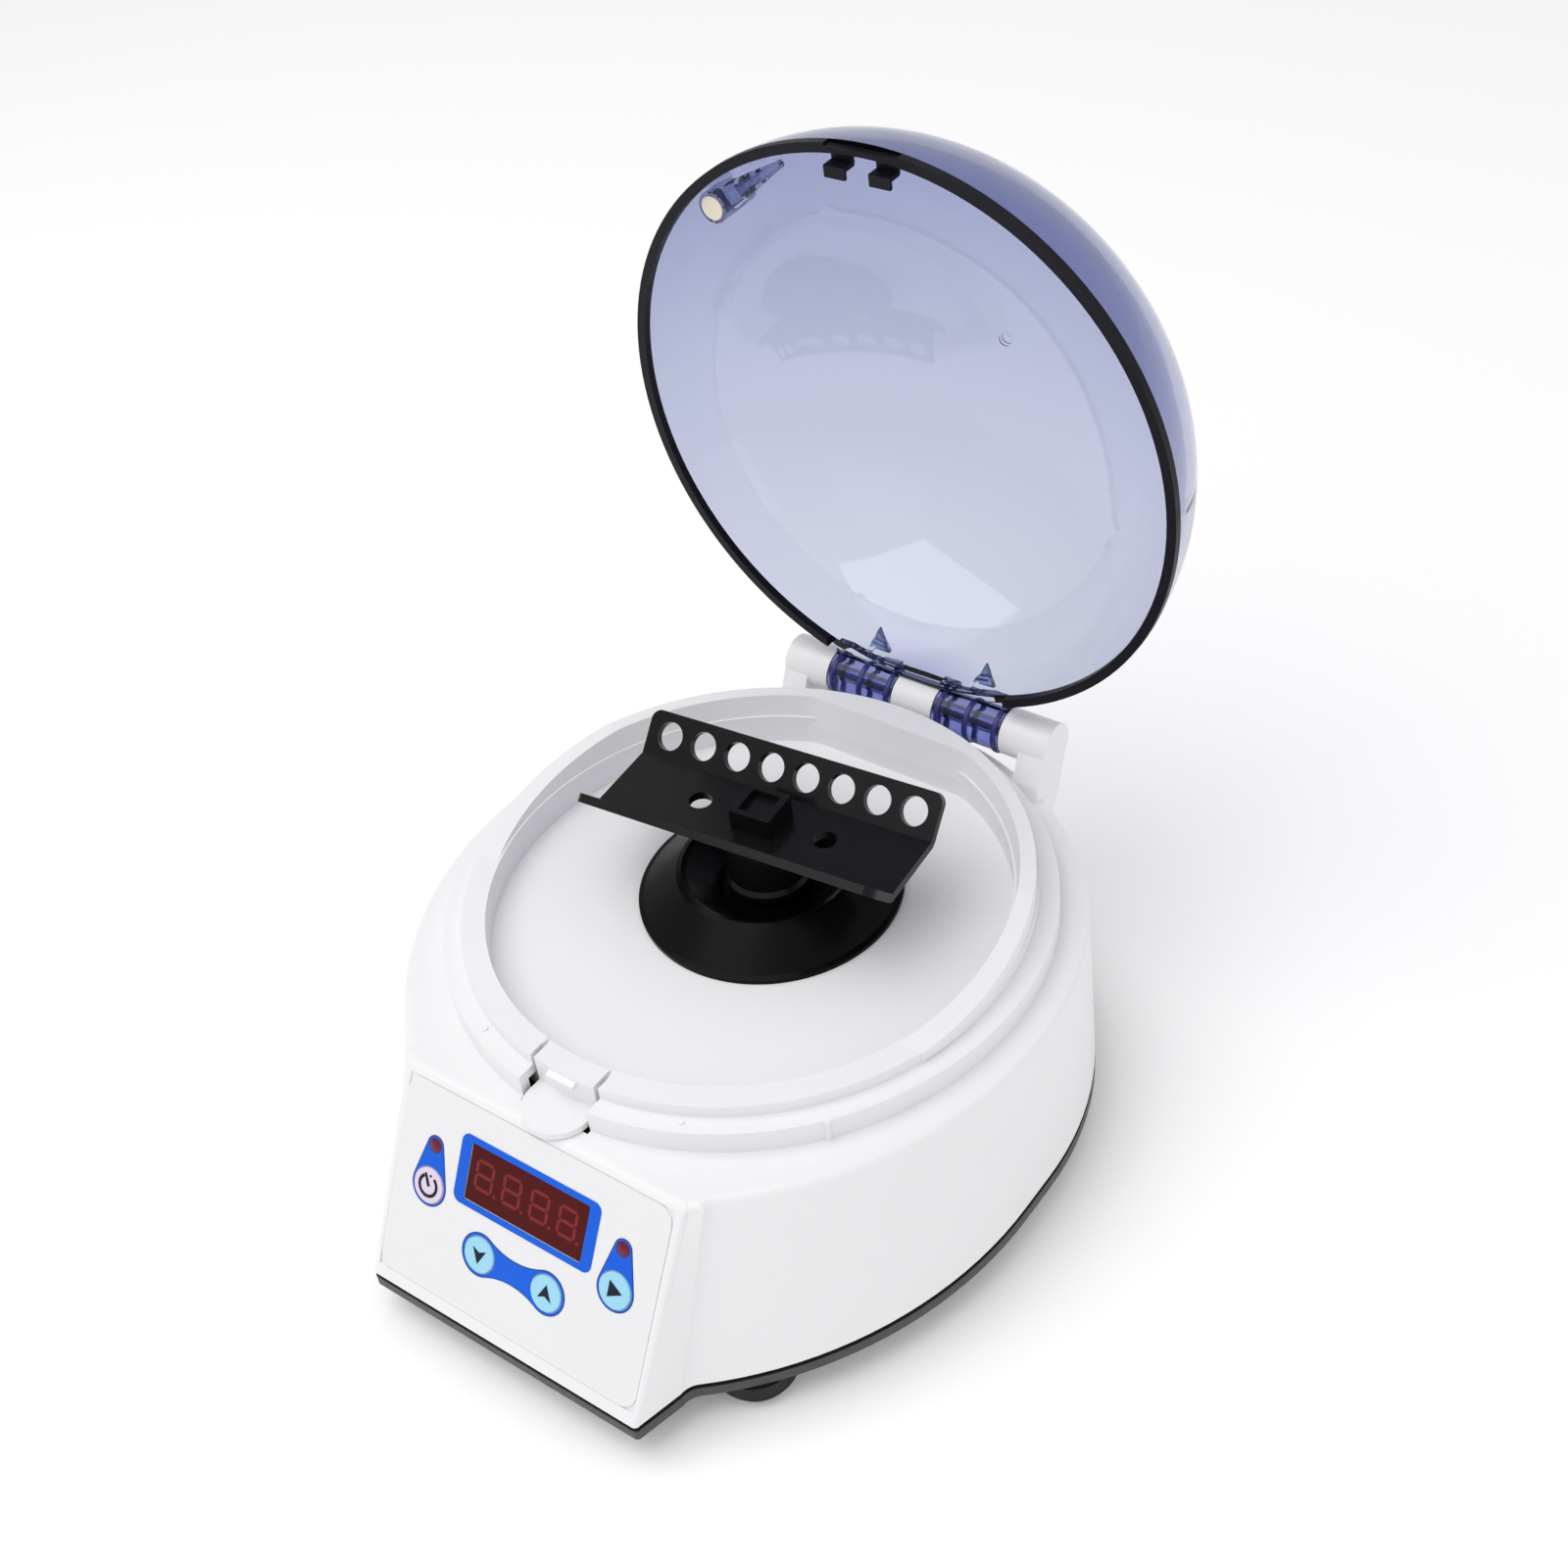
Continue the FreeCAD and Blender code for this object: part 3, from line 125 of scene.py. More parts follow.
def add_piece(name, mesh, material, body):
    """Link a finished mesh as a piece that rides on a body."""
    piece = linked(name, mesh)
    mesh.materials.clear()
    mesh.materials.append(material)
    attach(piece, body)
    return piece


# ---------------------------------------------------------------- material nodes

# Heights between which the colours of the clear lid, the bowl and the base change.
LID_LOW_Z, LID_HIGH_Z = 0.07, 0.19
BOWL_LOW_Z, BOWL_HIGH_Z = 0.057, 0.062
BASE_LOW_Z, BASE_HIGH_Z = 0.0071, 0.0118
# Sockets of a Mix node that mixes colours.
COLOUR_A, COLOUR_B, COLOUR_RESULT = 6, 7, 2
# Noise keeps near its middle, so this part of its range is spread out.
NOISE_LOW, NOISE_HIGH = 0.3, 0.7


def new_material(name):
    """An empty material, its node tree and its main shader."""
    material = bpy.data.materials.new(name)
    material.use_nodes = True
    tree = material.node_tree
    tree.nodes.clear()
    output = tree.nodes.new("ShaderNodeOutputMaterial")
    shader = tree.nodes.new("ShaderNodeBsdfPrincipled")
    tree.links.new(shader.outputs["BSDF"], output.inputs["Surface"])
    return material, tree, shader


def position(tree, stretch=(1, 1, 1)):
    """Coordinates in metres that ride with the piece, optionally stretched."""
    coordinates = tree.nodes.new("ShaderNodeTexCoord")
    mapping = tree.nodes.new("ShaderNodeMapping")
    mapping.inputs["Scale"].default_value = stretch
    tree.links.new(coordinates.outputs["Object"], mapping.inputs["Vector"])
    return mapping.outputs["Vector"]


def noise(tree, feature, detail, stretch=(1, 1, 1)):
    """Noise whose blobs measure about feature, in metres."""
    node = tree.nodes.new("ShaderNodeTexNoise")
    node.inputs["Scale"].default_value = 1 / feature
    node.inputs["Detail"].default_value = detail
    tree.links.new(position(tree, stretch), node.inputs["Vector"])
    return node.outputs["Fac"]


def ramped(tree, value, low, high):
    """Noise spread over the range low to high."""
    node = tree.nodes.new("ShaderNodeMapRange")
    node.inputs["From Min"].default_value = NOISE_LOW
    node.inputs["From Max"].default_value = NOISE_HIGH
    node.inputs["To Min"].default_value = low
    node.inputs["To Max"].default_value = high
    tree.links.new(value, node.inputs["Value"])
    return node.outputs["Result"]


def blended(tree, value, first, second):
    """A colour that goes from the first to the second as a value goes from 0 to 1."""
    node = tree.nodes.new("ShaderNodeMix")
    node.data_type = "RGBA"
    node.inputs[COLOUR_A].default_value = (*first, 1)
    node.inputs[COLOUR_B].default_value = (*second, 1)
    tree.links.new(value, node.inputs["Factor"])
    return node.outputs[COLOUR_RESULT]


def bump(tree, shader, height, depth):
    """A relief of a depth in metres, with height from 0 to 1."""
    node = tree.nodes.new("ShaderNodeBump")
    node.inputs["Strength"].default_value = 1.0
    node.inputs["Distance"].default_value = depth
    tree.links.new(height, node.inputs["Height"])
    tree.links.new(node.outputs["Normal"], shader.inputs["Normal"])


def moulded(name, colour, roughness, grain=0.0006, depth=0.00001, vary=0.03, sheen=0.5,
            coat=0.0):
    """A moulded plastic: faint clouds of colour, uneven gloss and a fine grain.

    grain and depth are the width and the height of the grain in metres, vary is how far the
    clouds go from the colour, and sheen is how strongly the surface reflects.
    """
    cloud = 0.03
    gloss_patch = 0.004
    material, tree, shader = new_material(name)
    darker = [channel * (1 - vary) for channel in colour]
    lighter = [min(1.0, channel * (1 + vary)) for channel in colour]
    clouds = ramped(tree, noise(tree, cloud, 3.0), 0, 1)
    tree.links.new(blended(tree, clouds, darker, lighter), shader.inputs["Base Color"])
    gloss = ramped(tree, noise(tree, gloss_patch, 4.0), roughness * 0.85,
                   min(1.0, roughness * 1.15))
    tree.links.new(gloss, shader.inputs["Roughness"])
    shader.inputs["Specular IOR Level"].default_value = sheen
    shader.inputs["Coat Weight"].default_value = coat
    shader.inputs["Coat Roughness"].default_value = roughness * 0.4
    bump(tree, shader, noise(tree, grain, 2.0), depth)
    return material


def brushed(name, colour, roughness, stretch):
    """A metal with fine lines along the axis that has the smallest stretch."""
    line = 0.00025
    depth = 0.000004
    material, tree, shader = new_material(name)
    shader.inputs["Metallic"].default_value = 1.0
    lines = noise(tree, line, 3.0, stretch)
    darker = [channel * 0.82 for channel in colour]
    tree.links.new(blended(tree, ramped(tree, lines, 0, 1), darker, colour),
                   shader.inputs["Base Color"])
    tree.links.new(ramped(tree, lines, roughness * 0.7, roughness * 1.3),
                   shader.inputs["Roughness"])
    bump(tree, shader, lines, depth)
    return material


def graded(tree, low_z, high_z, stops):
    """A colour that changes with height.

    stops are pairs of a share of the rise from low_z to high_z, and the colour there.
    """
    parts = tree.nodes.new("ShaderNodeSeparateXYZ")
    tree.links.new(position(tree), parts.inputs["Vector"])
    rise = tree.nodes.new("ShaderNodeMapRange")
    rise.inputs["From Min"].default_value = low_z
    rise.inputs["From Max"].default_value = high_z
    tree.links.new(parts.outputs["Z"], rise.inputs["Value"])
    ramp = tree.nodes.new("ShaderNodeValToRGB")
    bar = ramp.color_ramp.elements
    while len(bar) < len(stops):
        bar.new(0.5)
    for mark, (share, colour) in zip(bar, stops):
        mark.position = share
        mark.color = (*colour, 1)
    tree.links.new(rise.outputs["Result"], ramp.inputs["Fac"])
    return ramp.outputs["Color"]


def clear_plastic(name, stops, roughness=0.02, depth=0.000004, clear=1.0):
    """A clear plastic whose tint changes up the open lid, with a moulded wall's slow waves."""
    gloss_patch = 0.01
    wave = 0.012
    material, tree, shader = new_material(name)
    tree.links.new(graded(tree, LID_LOW_Z, LID_HIGH_Z, stops), shader.inputs["Base Color"])
    shader.inputs["Transmission Weight"].default_value = clear
    shader.inputs["IOR"].default_value = 1.46
    tree.links.new(ramped(tree, noise(tree, gloss_patch, 3.0), roughness * 0.5, roughness * 1.5),
                   shader.inputs["Roughness"])
    bump(tree, shader, noise(tree, wave, 1.0), depth)
    return material


def banded(name, low_z, high_z, stops, roughness, depth):
    """A moulded plastic whose colour changes with height, with a fine grain."""
    gloss_patch = 0.002
    grain = 0.0006
    material, tree, shader = new_material(name)
    tree.links.new(graded(tree, low_z, high_z, stops), shader.inputs["Base Color"])
    tree.links.new(ramped(tree, noise(tree, gloss_patch, 3.0), roughness * 0.85,
                          roughness * 1.15), shader.inputs["Roughness"])
    shader.inputs["Specular IOR Level"].default_value = 0.35
    bump(tree, shader, noise(tree, grain, 2.0), depth)
    return material


# ---------------------------------------------------------------- materials

WHITE = moulded("white_plastic", (0.88, 0.878, 0.885), 0.34, depth=0.000002, vary=0.006)
# A neutral floor and a slightly violet wall: painted light, the violet stands in for the light
# that comes through the violet lid onto the wall.
BOWL_WITH_LID_LIGHT = banded("bowl_plastic", BOWL_LOW_Z, BOWL_HIGH_Z,
              [(0.05, (0.90, 0.895, 0.905)), (0.3, (0.90, 0.87, 0.925))], 0.36, 0.000002)
# Deep in the thick knuckles at the bottom of the open lid.
DOME = clear_plastic("dome_plastic", [(0.0, (0.16, 0.18, 0.50)), (0.04, (0.64, 0.665, 0.78)),
                                      (0.95, (0.36, 0.39, 0.60))])
RIB = clear_plastic("rib_plastic", [(0.0, (0.06, 0.075, 0.36)), (0.3, (0.16, 0.20, 0.56))],
                    0.15, clear=0.6)
TAB = clear_plastic("tab_plastic", [(0.0, (0.44, 0.54, 0.92)), (0.3, (0.52, 0.62, 0.95))],
                    0.12, clear=0.8)
SEAL = moulded("seal_black", (0.005, 0.005, 0.009), 0.40, vary=0.2, sheen=0.16)
RUBBER = moulded("black_rubber", (0.003, 0.003, 0.003), 0.24, depth=0.000004, vary=0.3,
                 sheen=0.08)
FEET = moulded("feet_rubber", (0.008, 0.008, 0.008), 0.6, grain=0.0004, depth=0.00003, vary=0.25,
               sheen=0.3)
# Grey-green below the groove line, a little darker towards it, and black above it: painted shade,
# black that stands in for the shadow in the groove between the white housing and the base.
BASE_WITH_GROOVE_SHADE = banded("base_black", BASE_LOW_Z, BASE_HIGH_Z,
              [(0.0, (0.062, 0.068, 0.056)), (0.68, (0.050, 0.055, 0.046)),
               (0.74, (0.003, 0.003, 0.003))], 0.45, 0.00002)
ROTOR = moulded("rotor_black", (0.006, 0.006, 0.006), 0.20, depth=0.000004, vary=0.2, sheen=0.2)
FILM = moulded("label_film", (0.85, 0.85, 0.855), 0.36, grain=0.0003, depth=0.000003, vary=0.006)
BLUE = moulded("print_blue", (0.002, 0.115, 0.72), 0.32, grain=0.0003, depth=0.000003, vary=0.05,
               sheen=0.2)
NAVY = moulded("print_navy", (0.004, 0.035, 0.22), 0.34, grain=0.0003, depth=0.000003, vary=0.08,
               sheen=0.2)
INK = moulded("print_ink", (0.006, 0.010, 0.03), 0.4, grain=0.0003, depth=0.000003, vary=0.1,
              sheen=0.2)
WINDOW = moulded("window_red", (0.080, 0.004, 0.004), 0.2, depth=0.000002, vary=0.12, sheen=0.12)
SEGMENT = moulded("segment_red", (0.20, 0.016, 0.014), 0.30, depth=0.000002, vary=0.06, sheen=0.2)
PINK = moulded("key_pale", (0.78, 0.66, 0.78), 0.35, grain=0.0004, depth=0.000005, vary=0.02)
CYAN = moulded("key_cyan", (0.34, 0.70, 0.88), 0.35, grain=0.0004, depth=0.000005, vary=0.02)
LED = moulded("led_red", (0.14, 0.004, 0.03), 0.15, depth=0.000002, vary=0.15, sheen=0.4)
BOARD = moulded("board_green", (0.012, 0.14, 0.06), 0.35, grain=0.0015, depth=0.00001, vary=0.2)
PART = moulded("part_black", (0.02, 0.02, 0.022), 0.42, vary=0.2)
MAGNET = moulded("magnet_cream", (0.80, 0.73, 0.58), 0.5, vary=0.06, coat=0.2)
FERRITE = moulded("ferrite", (0.05, 0.05, 0.055), 0.6, grain=0.0004, depth=0.00003, vary=0.3)
CORE = moulded("core_steel", (0.28, 0.13, 0.06), 0.4, grain=0.0005, depth=0.00005, vary=0.3)
STEEL = brushed("screw_steel", (0.55, 0.55, 0.56), 0.35, (1, 1, 0.1))
SHAFT = brushed("shaft_steel", (0.70, 0.70, 0.71), 0.18, (1, 1, 0.05))
CAN = brushed("can_steel", (0.60, 0.60, 0.62), 0.35, (1, 1, 0.05))
BRACKET = brushed("bracket_steel", (0.58, 0.59, 0.60), 0.4, (0.05, 1, 1))
BRASS = brushed("bush_brass", (0.72, 0.52, 0.24), 0.3, (1, 1, 0.2))

NODE_MATERIALS = {
    "upper_housing": WHITE, "latch_tab": WHITE, "chamber_bowl": BOWL_WITH_LID_LIGHT, "lid_dome": DOME,
    "lid_seal": SEAL, "shaft_boot": RUBBER, "motor_isolators": RUBBER, "rubber_feet": FEET,
    "base_plate": BASE_WITH_GROOVE_SHADE, "rotor_plate": ROTOR, "rear_tube_rail": ROTOR, "front_tube_rail": ROTOR,
    "rotor_hub": ROTOR, "control_overlay": FILM, "display_window": WINDOW, "time_key": PINK,
    "start_key": CYAN, "down_key": CYAN, "up_key": CYAN, "indicator_leds": LED,
    "control_board": BOARD, "main_board": BOARD, "main_board_parts": PART,
    "display_module": PART, "tact_switches": PART, "lid_sensor": PART, "motor_end_cap": PART,
    "dc_jack": PART, "power_switch": PART, "power_rocker": PART, "lid_magnet": MAGNET,
    "motor_magnets": FERRITE, "motor_armature": CORE, "base_screws": STEEL,
    "motor_screws": STEEL, "latch_spring": STEEL, "hinge_pin": SHAFT, "motor_shaft": SHAFT,
    "motor_can": CAN, "motor_bracket": BRACKET, "motor_bushes": BRASS,
}


def dress_nodes():
    """Give every CAD node its material."""
    for name, node in NODES.items():
        node.data.materials.clear()
        node.data.materials.append(NODE_MATERIALS[name])


# ---------------------------------------------------------------- outlines on the panel

def arc(centre, radius, start, end, steps):
    """Points on an arc from one angle to another, in radians."""
    points = []
    for i in range(steps + 1):
        angle = start + (end - start) * i / steps
        points.append((centre[0] + radius * math.cos(angle), centre[1] + radius * math.sin(angle)))
    return points


def circle(centre, radius, steps=64):
    """Points on a circle, without the first one again at the end."""
    return arc(centre, radius, 0, TURN, steps)[:-1]


def rounded_box(half_u, half_v, radius):
    """A box with rounded corners about the origin."""
    points = []
    quarter = math.pi / 2
    for i, (side_u, side_v) in enumerate(((1, 1), (-1, 1), (-1, -1), (1, -1))):
        corner = (side_u * (half_u - radius), side_v * (half_v - radius))
        points += arc(corner, radius, i * quarter, (i + 1) * quarter, 8)
    return points


def teardrop(key, key_radius, led, led_radius):
    """A drop round a key whose narrow end goes round the lamp above it."""
    reach = led[1] - key[1]
    lean = math.asin((key_radius - led_radius) / reach)
    return (arc(led, led_radius, lean, math.pi - lean, 16)
            + arc(key, key_radius, math.pi - lean, TURN + lean, 48))


def dog_bone(half, level, radius, neck):
    """Two discs joined by a bar with hollow sides; neck is half the bar's least width."""
    hollow = (half ** 2 + neck ** 2 - radius ** 2) / (2 * (radius - neck))
    lean = math.atan2(neck + hollow, half)
    right = (half, level)
    left = (-half, level)
    return (arc(right, radius, lean - math.pi, math.pi - lean, 48)
            + arc((0, level + neck + hollow), hollow, -lean, lean - math.pi, 16)[1:-1]
            + arc(left, radius, lean, TURN - lean, 48)
            + arc((0, level - neck - hollow), hollow, math.pi - lean, lean, 16)[1:-1])


def flat_mesh(name, loops, thickness):
    """A flat plate with rounded rims from closed loops; a loop inside another is a hole."""
    rim = thickness * 0.3
    curve = bpy.data.curves.new(name, "CURVE")
    curve.dimensions = "2D"
    curve.fill_mode = "BOTH"
    curve.extrude = thickness / 2 - rim
    curve.bevel_depth = rim
    curve.offset = -rim
    curve.bevel_resolution = 1
    for points in loops:
        spline = curve.splines.new("POLY")
        spline.points.add(len(points) - 1)
        for point, (u, v) in zip(spline.points, points):
            point.co = (u, v, 0, 1)
        spline.use_cyclic_u = True
    mesh = mesh_of(curve)
    mesh.transform(Matrix.Translation((0, 0, thickness / 2)))
    mesh.name = name
    return mesh


def print_on_panel(name, loops, level, thickness, material, body):
    """A thin plate on the panel, drawn in panel coordinates, at a level along w."""
    mesh = flat_mesh(name, loops, thickness)
    mesh.transform(PANEL.matrix(level))
    return add_piece(name, mesh, material, body)


# ---------------------------------------------------------------- the printed panel

PRINT = 0.10 * MM       # how thick the badges' print stands on the film
LINE = 0.20 * MM        # how wide the navy line round a badge is
HOLE_GAP = 0.22 * MM    # between a badge and the key or lamp in its hole
KEY_RADIUS = half_width("start_key", PANEL.u)
SIDE_KEYS = {"time": PANEL.place("time_key"), "start": PANEL.place("start_key")}
LOW_KEYS = {"down": PANEL.place("down_key"), "up": PANEL.place("up_key")}
WINDOW_HALF_U = half_width("display_window", PANEL.u)
WINDOW_HALF_V = half_width("display_window", PANEL.v)
LED_RADIUS = 1.5 * MM
LED_LEVEL = middle("indicator_leds", PANEL.v) - PANEL.middle_v


def display_frame():
    """The blue border round the display."""
    gap = 0.12 * MM
    thickness = 0.14 * MM
    outer = rounded_box(19.0 * MM, 8.0 * MM, 2.0 * MM)
    inner = rounded_box(WINDOW_HALF_U + gap, WINDOW_HALF_V + gap, 0.7 * MM)
    print_on_panel("display_frame", [outer, inner], PANEL.film, thickness, BLUE,
                   "base")


def side_badges():
    """Blue drops that join each side key to its lamp, with a navy line round them."""
    key_rim = KEY_RADIUS + 0.55 * MM
    lamp_rim = LED_RADIUS + 0.6 * MM
    for name, key in SIDE_KEYS.items():
        lamp = (key[0], LED_LEVEL)
        holes = [circle(key, KEY_RADIUS + HOLE_GAP), circle(lamp, LED_RADIUS + HOLE_GAP)]
        drop = teardrop(key, key_rim, lamp, lamp_rim)
        line = teardrop(key, key_rim + LINE, lamp, lamp_rim + LINE)
        print_on_panel(name + "_badge", [drop] + holes, PANEL.film, PRINT, BLUE,
                       "base")
        print_on_panel(name + "_badge_line", [line, drop], PANEL.film, PRINT, NAVY,
                       "base")


def dome_mesh(name, radius, height):
    """A low round lens about the origin, flat side down."""
    rings = 6
    steps = 40
    curve_r = (radius ** 2 + height ** 2) / (2 * height)
    points = [(0, 0, height)]
    for i in range(1, rings + 1):
        reach = radius * i / rings
        level = math.sqrt(curve_r ** 2 - reach ** 2) - curve_r + height
        points += [(a, b, level) for a, b in circle((0, 0), reach, steps)]
    points.append((0, 0, 0))
    faces = []
    for k in range(steps):
        after = (k + 1) % steps
        faces.append((0, 1 + k, 1 + after))
        for i in range(rings - 1):
            inner = 1 + i * steps
            outer = inner + steps
            faces.append((inner + k, outer + k, outer + after, inner + after))
        rim = 1 + (rings - 1) * steps
        faces.append((len(points) - 1, rim + after, rim + k))
    mesh = bpy.data.meshes.new(name)
    mesh.from_pydata(points, [], faces)
    smooth(mesh)
    return mesh


def lamp_lenses():
    """The dark red caps that fill the drops' narrow ends."""
    radius = LED_RADIUS + 0.35 * MM
    height = 0.3 * MM
    for name, key in SIDE_KEYS.items():
        mesh = dome_mesh(name + "_lamp_lens", radius, height)
        mesh.transform(Matrix.Translation((key[0], LED_LEVEL, 0)))
        mesh.transform(PANEL.matrix(PANEL.film))
        add_piece(name + "_lamp_lens", mesh, LED, "base")


def arrow_badge():
    """The blue bar that joins the two arrow keys."""
    half, level = LOW_KEYS["up"]
    rim = KEY_RADIUS + 0.75 * MM
    neck = 2.6 * MM
    holes = [circle(key, KEY_RADIUS + HOLE_GAP) for key in LOW_KEYS.values()]
    bar = dog_bone(half, level, rim, neck)
    line = dog_bone(half, level, rim + LINE, neck + LINE)
    print_on_panel("arrow_badge", [bar] + holes, PANEL.film, PRINT, BLUE, "base")
    print_on_panel("arrow_badge_line", [line, bar], PANEL.film, PRINT, NAVY,
                   "base")


def arrowhead(key, tip):
    """A notched arrowhead on a key; tip is 1 for up and -1 for down."""
    half = 1.85 * MM
    tail = 1.5 * MM
    notch = 0.65 * MM
    reach = 2.1 * MM
    u, v = key
    return [(u - half, v - tip * tail), (u, v - tip * notch),
            (u + half, v - tip * tail), (u, v + tip * reach)]


def clock_sign(key):
    """A dial that is open at the top, a hand that leans into it and a dot above."""
    u, v = key
    outer = 2.75 * MM
    inner = 2.0 * MM
    start = math.radians(125)
    end = math.radians(415)
    ring = arc(key, outer, start, end, 48) + arc(key, inner, end, start, 48)
    hand = [(u - 1.5 * MM, v + 2.45 * MM), (u - 0.85 * MM, v + 2.75 * MM),
            (u + 0.6 * MM, v + 0.05 * MM), (u - 0.15 * MM, v - 0.35 * MM)]
    dot = circle((u + 0.35 * MM, v + 2.35 * MM), 0.32 * MM, 16)
    return {"dial": ring, "hand": hand, "dot": dot}


def key_signs():
    """Signs printed on the key caps, each moving with its key."""
    thickness = 0.05 * MM
    tail = 1.5 * MM
    reach = 2.1 * MM
    half = 1.95 * MM
    u, v = SIDE_KEYS["start"]
    play = [(u - tail, v - half), (u + reach, v), (u - tail, v + half)]
    signs = [("start_key", {"sign": play}, "key_cyan"),
             ("time_key", clock_sign(SIDE_KEYS["time"]), "key_pale"),
             ("down_key", {"sign": arrowhead(LOW_KEYS["down"], -1)}, "key_cyan"),
             ("up_key", {"sign": arrowhead(LOW_KEYS["up"], 1)}, "key_cyan")]
    for body, shapes, slot in signs:
        for name, points in shapes.items():
            print_on_panel(body + "_" + name, [points], PANEL.cap, thickness, INK, body)


def segment(centre, half, thick, upright):
    """A six-sided bar of a digit."""
    u, v = centre
    tip = thick / 2
    bar = [(half, 0), (half - tip, tip), (tip - half, tip), (-half, 0), (tip - half, -tip),
           (half - tip, -tip)]
    if upright:
        bar = [(-b, a) for a, b in bar]
    return [(u + a, v + b) for a, b in bar]


def display_digits():
    """Four unlit seven-bar digits, each with its point, seen faintly in the window."""
    pitch = 7.6 * MM
    half_u = 2.2 * MM
    half_v = 3.15 * MM
    lift = 0.3 * MM
    thick = 0.8 * MM
    gap = 0.1 * MM
    left = 0.3 * MM
    point_away = 1.1 * MM
    point_radius = 0.42 * MM
    depth = 0.03 * MM
    short = half_v / 2 - gap
    long = half_u - gap
    loops = []
    for i in range(4):
        u = (i - 1.5) * pitch - left
        bars = [segment((u, v + lift), long, thick, False) for v in (-half_v, 0, half_v)]
        bars += [segment((u + du, dv * half_v / 2 + lift), short, thick, True)
                 for du in (-half_u, half_u) for dv in (-1, 1)]
        point = (u + half_u + point_away, lift - half_v - gap)
        bars.append(circle(point, point_radius, 16))
        loops += bars
    print_on_panel("display_digits", loops, PANEL.glass, depth, SEGMENT,
                   "base")


# ---------------------------------------------------------------- the lid's hinge

HINGE = Vector((0, middle("hinge_pin", Vector((0, 1, 0))),
                middle("hinge_pin", Vector((0, 0, 1)))))
LID_TRAVEL = math.radians(88.5)
SIDES = ((-1, "left"), (1, "right"))


def across_hinge(name, loops, low_x, thickness):
    """A plate across the hinge axis, drawn in mm from the axis with the lid as it stands open."""
    mesh = flat_mesh(name, [[(a * MM, b * MM) for a, b in loop] for loop in loops], thickness * MM)
    columns = Matrix(((0, 1, 0), (0, 0, 1), (1, 0, 0))).transposed().to_4x4()
    mesh.transform(Matrix.Translation(HINGE + Vector((low_x * MM, 0, 0))) @ columns)
    return mesh


def knuckle_ribs():
    """Ribs round each clear knuckle."""
    outer = 6.0
    inner = 4.2
    width = 1.2
    rings = [circle((0, 0), outer, 48), circle((0, 0), inner, 48)]
    for side, name in SIDES:
        for i, middle_x in enumerate((7.2, 15.0, 22.8)):
            rib = across_hinge("%s_rib_%d" % (name, i), rings, side * middle_x - width / 2, width)
            add_piece(rib.name, rib, RIB, "lid")


def knuckle_tabs():
    """The pointed tab above each knuckle, drawn with the lid shut and then opened."""
    middle_x = 15.0
    level = 4.3 * MM
    thickness = 1.6 * MM
    corners = ((-3.0, 5.8), (3.0, 5.8), (0.5, 13.1))
    opened = Matrix.Translation(HINGE) @ Matrix.Rotation(-LID_TRAVEL, 4, "X")
    for side, name in SIDES:
        points = [((side * middle_x + a) * MM, -b * MM) for a, b in corners]
        tab = flat_mesh(name + "_tab", [points], thickness)
        tab.transform(opened @ Matrix.Translation((0, 0, level)))
        add_piece(tab.name, tab, TAB, "lid")


# ---------------------------------------------------------------- the latch spring

def latch_coil():
    """The latch's coil spring, a fixed helix that takes the place of the CAD spring."""
    back = Vector((0, 1, 0))
    low, high = span("latch_spring", back)
    level = middle("latch_spring", Vector((0, 0, 1)))
    wire = 0.35 * MM
    coil = half_width("latch_spring", Vector((1, 0, 0))) - wire
    turns = 6
    steps = turns * 24
    curve = bpy.data.curves.new("latch_coil", "CURVE")
    curve.dimensions = "3D"
    curve.bevel_depth = wire
    curve.bevel_resolution = 3
    curve.use_fill_caps = True
    spline = curve.splines.new("POLY")
    spline.points.add(steps)
    for i, point in enumerate(spline.points):
        turn = TURN * turns * i / steps
        y = low + wire + (high - low - 2 * wire) * i / steps
        point.co = (coil * math.cos(turn), y, level + coil * math.sin(turn), 1)
    mesh = mesh_of(curve)
    smooth(mesh)
    piece = add_piece("latch_coil", mesh, STEEL, "base")
    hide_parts("latch_spring")
    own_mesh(piece)


# ---------------------------------------------------------------- studio

def area_light(name, place, target, size, power):
    """A rectangular lamp at a place, turned to a target."""
    lamp = bpy.data.lights.new(name, "AREA")
    lamp.shape = "RECTANGLE"
    lamp.size, lamp.size_y = size
    lamp.energy = power
    holder = linked(name, lamp)
    holder.location = place
    aim = Vector(target) - Vector(place)
    holder.rotation_euler = aim.to_track_quat("-Z", "Y").to_euler()


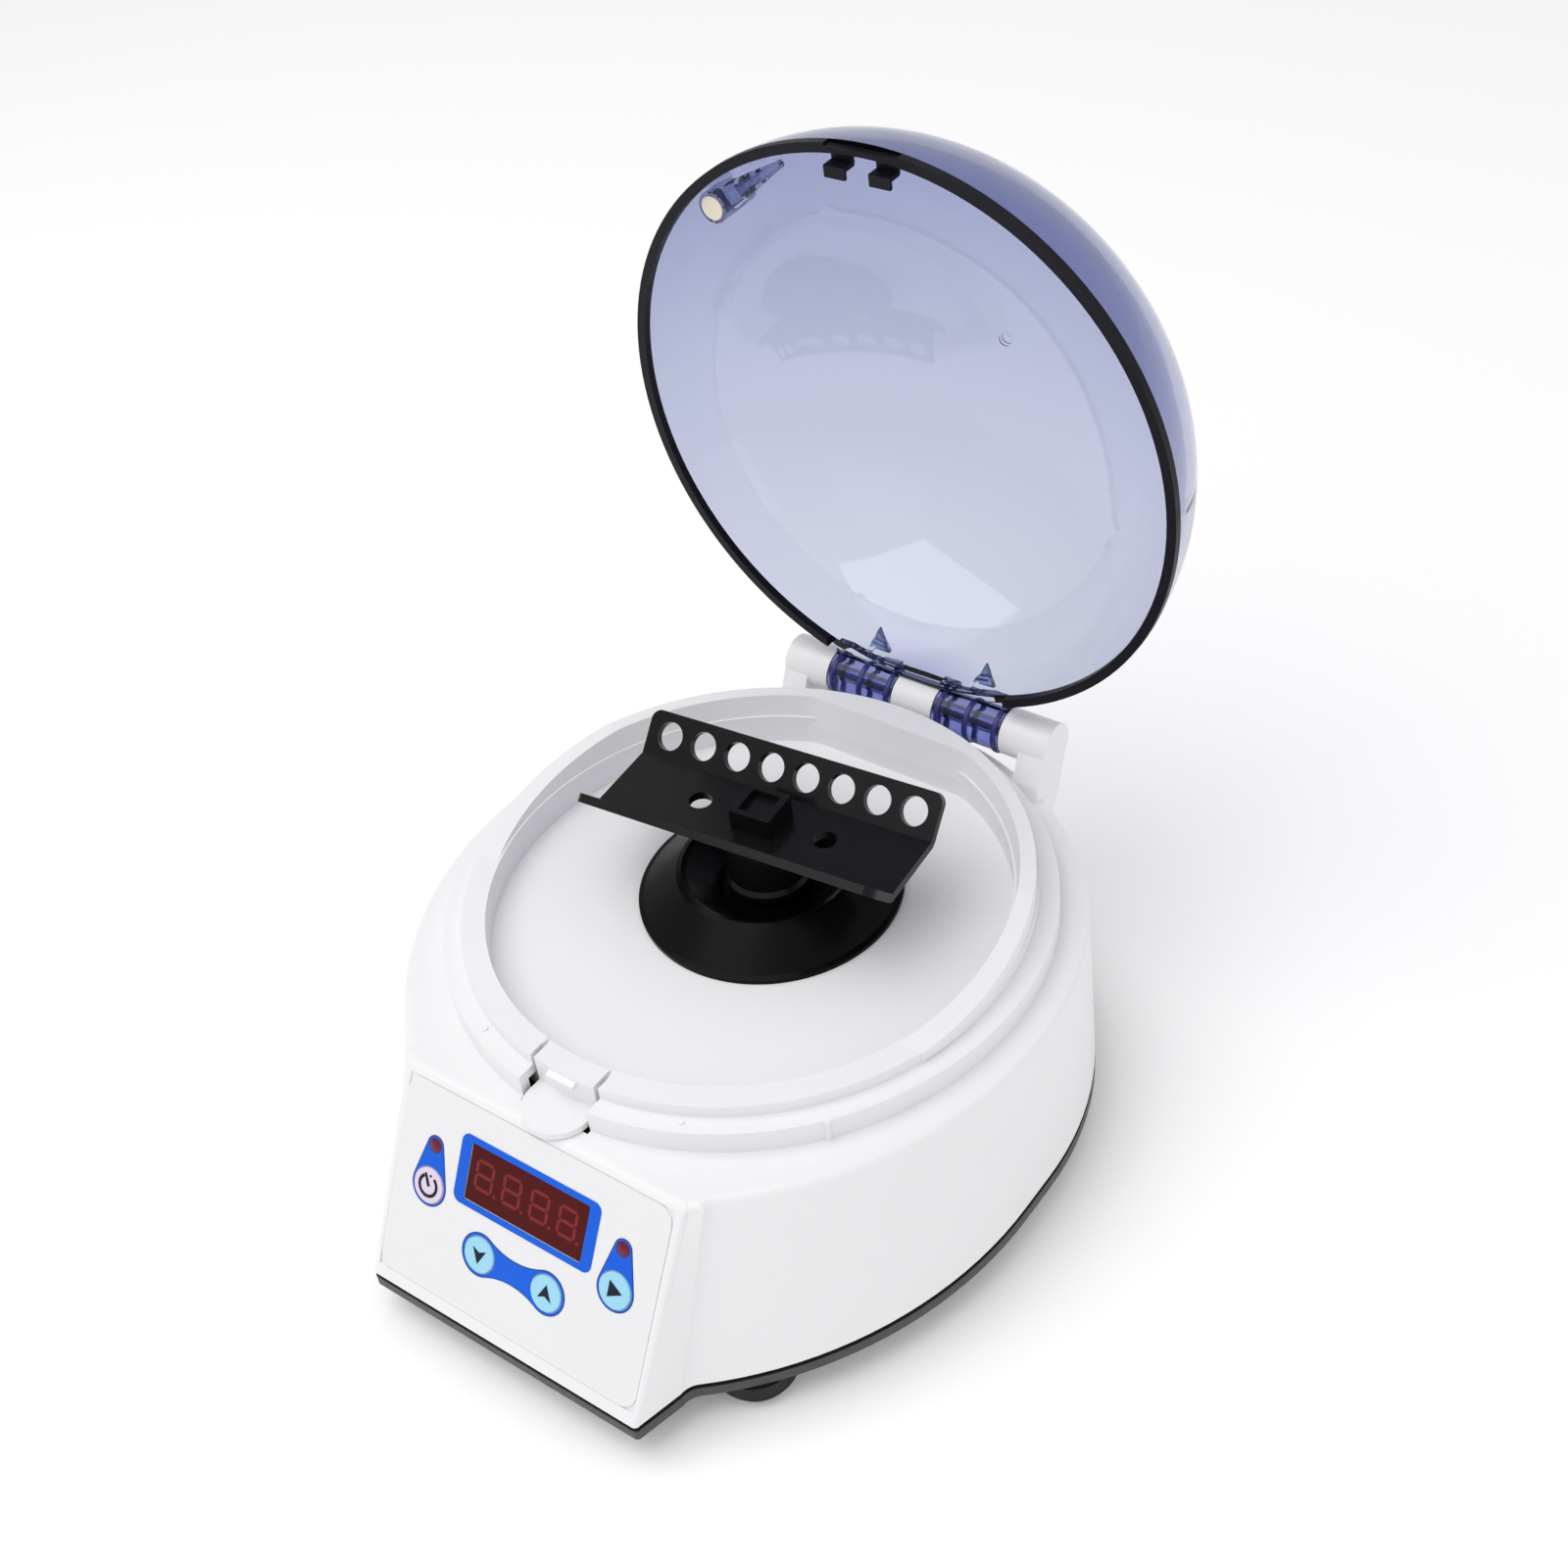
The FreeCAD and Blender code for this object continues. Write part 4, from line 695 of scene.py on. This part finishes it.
def studio():
    """The world's even light and three lamps."""
    world = bpy.data.worlds.new("studio")
    world.use_nodes = True
    sky = world.node_tree.nodes["Background"]
    sky.inputs["Color"].default_value = (0.985, 0.985, 1.0, 1)
    sky.inputs["Strength"].default_value = 0.68
    bpy.context.scene.world = world
    aim = (0, 0, 0.06)
    area_light("top_light", (-0.25, -0.3, 1.0), aim, (1.0, 1.0), 4.9)
    area_light("right_light", (0.9, 0.1, 0.5), aim, (0.6, 0.6), 0.45)
    area_light("front_light", (0.2, -0.9, 0.6), aim, (0.7, 0.5), 0.2)
    bpy.context.scene.view_settings.view_transform = "Standard"


def floor():
    """A wide white floor that the object stands on."""
    material, tree, shader = new_material("studio_floor")
    tone = blended(tree, noise(tree, 0.3, 2.0), (0.985, 0.985, 0.985), (0.995, 0.995, 0.995))
    tree.links.new(tone, shader.inputs["Base Color"])
    shader.inputs["Roughness"].default_value = 0.6
    shader.inputs["Emission Color"].default_value = (1, 1, 1, 1)
    shader.inputs["Emission Strength"].default_value = 0.10
    half = 6.0
    mesh = bpy.data.meshes.new("studio_floor")
    corners = [(-half, -half, 0), (half, -half, 0), (half, half, 0), (-half, half, 0)]
    mesh.from_pydata(corners, [], [(0, 1, 2, 3)])
    mesh.materials.append(material)
    plane = linked("studio_floor", mesh)


def camera():
    """The camera stands to the front right, above the object, and leans a little."""
    azimuth = math.radians(40.85)
    elevation = math.radians(40.44)
    roll = math.radians(-7.77)
    distance = 0.5105
    target = Vector((-0.01851, 0.03043, 0.057))
    back = Vector((math.sin(azimuth) * math.cos(elevation),
                   -math.cos(azimuth) * math.cos(elevation), math.sin(elevation)))
    level = Vector((math.cos(azimuth), math.sin(azimuth), 0))
    up = back.cross(level)
    right = level * math.cos(roll) + up * math.sin(roll)
    top = up * math.cos(roll) - level * math.sin(roll)
    lens = bpy.data.cameras.new("camera")
    lens.sensor_width = 36.0
    lens.lens = 49.27
    lens.clip_start = 0.01
    holder = linked("camera", lens)
    turn = Matrix((right, top, back)).transposed().to_4x4()
    holder.matrix_world = Matrix.Translation(target + back * distance) @ turn
    bpy.context.scene.camera = holder


dress_nodes()
display_frame()
side_badges()
arrow_badge()
lamp_lenses()
key_signs()
display_digits()
knuckle_ribs()
knuckle_tabs()
latch_coil()
studio()
floor()
camera()
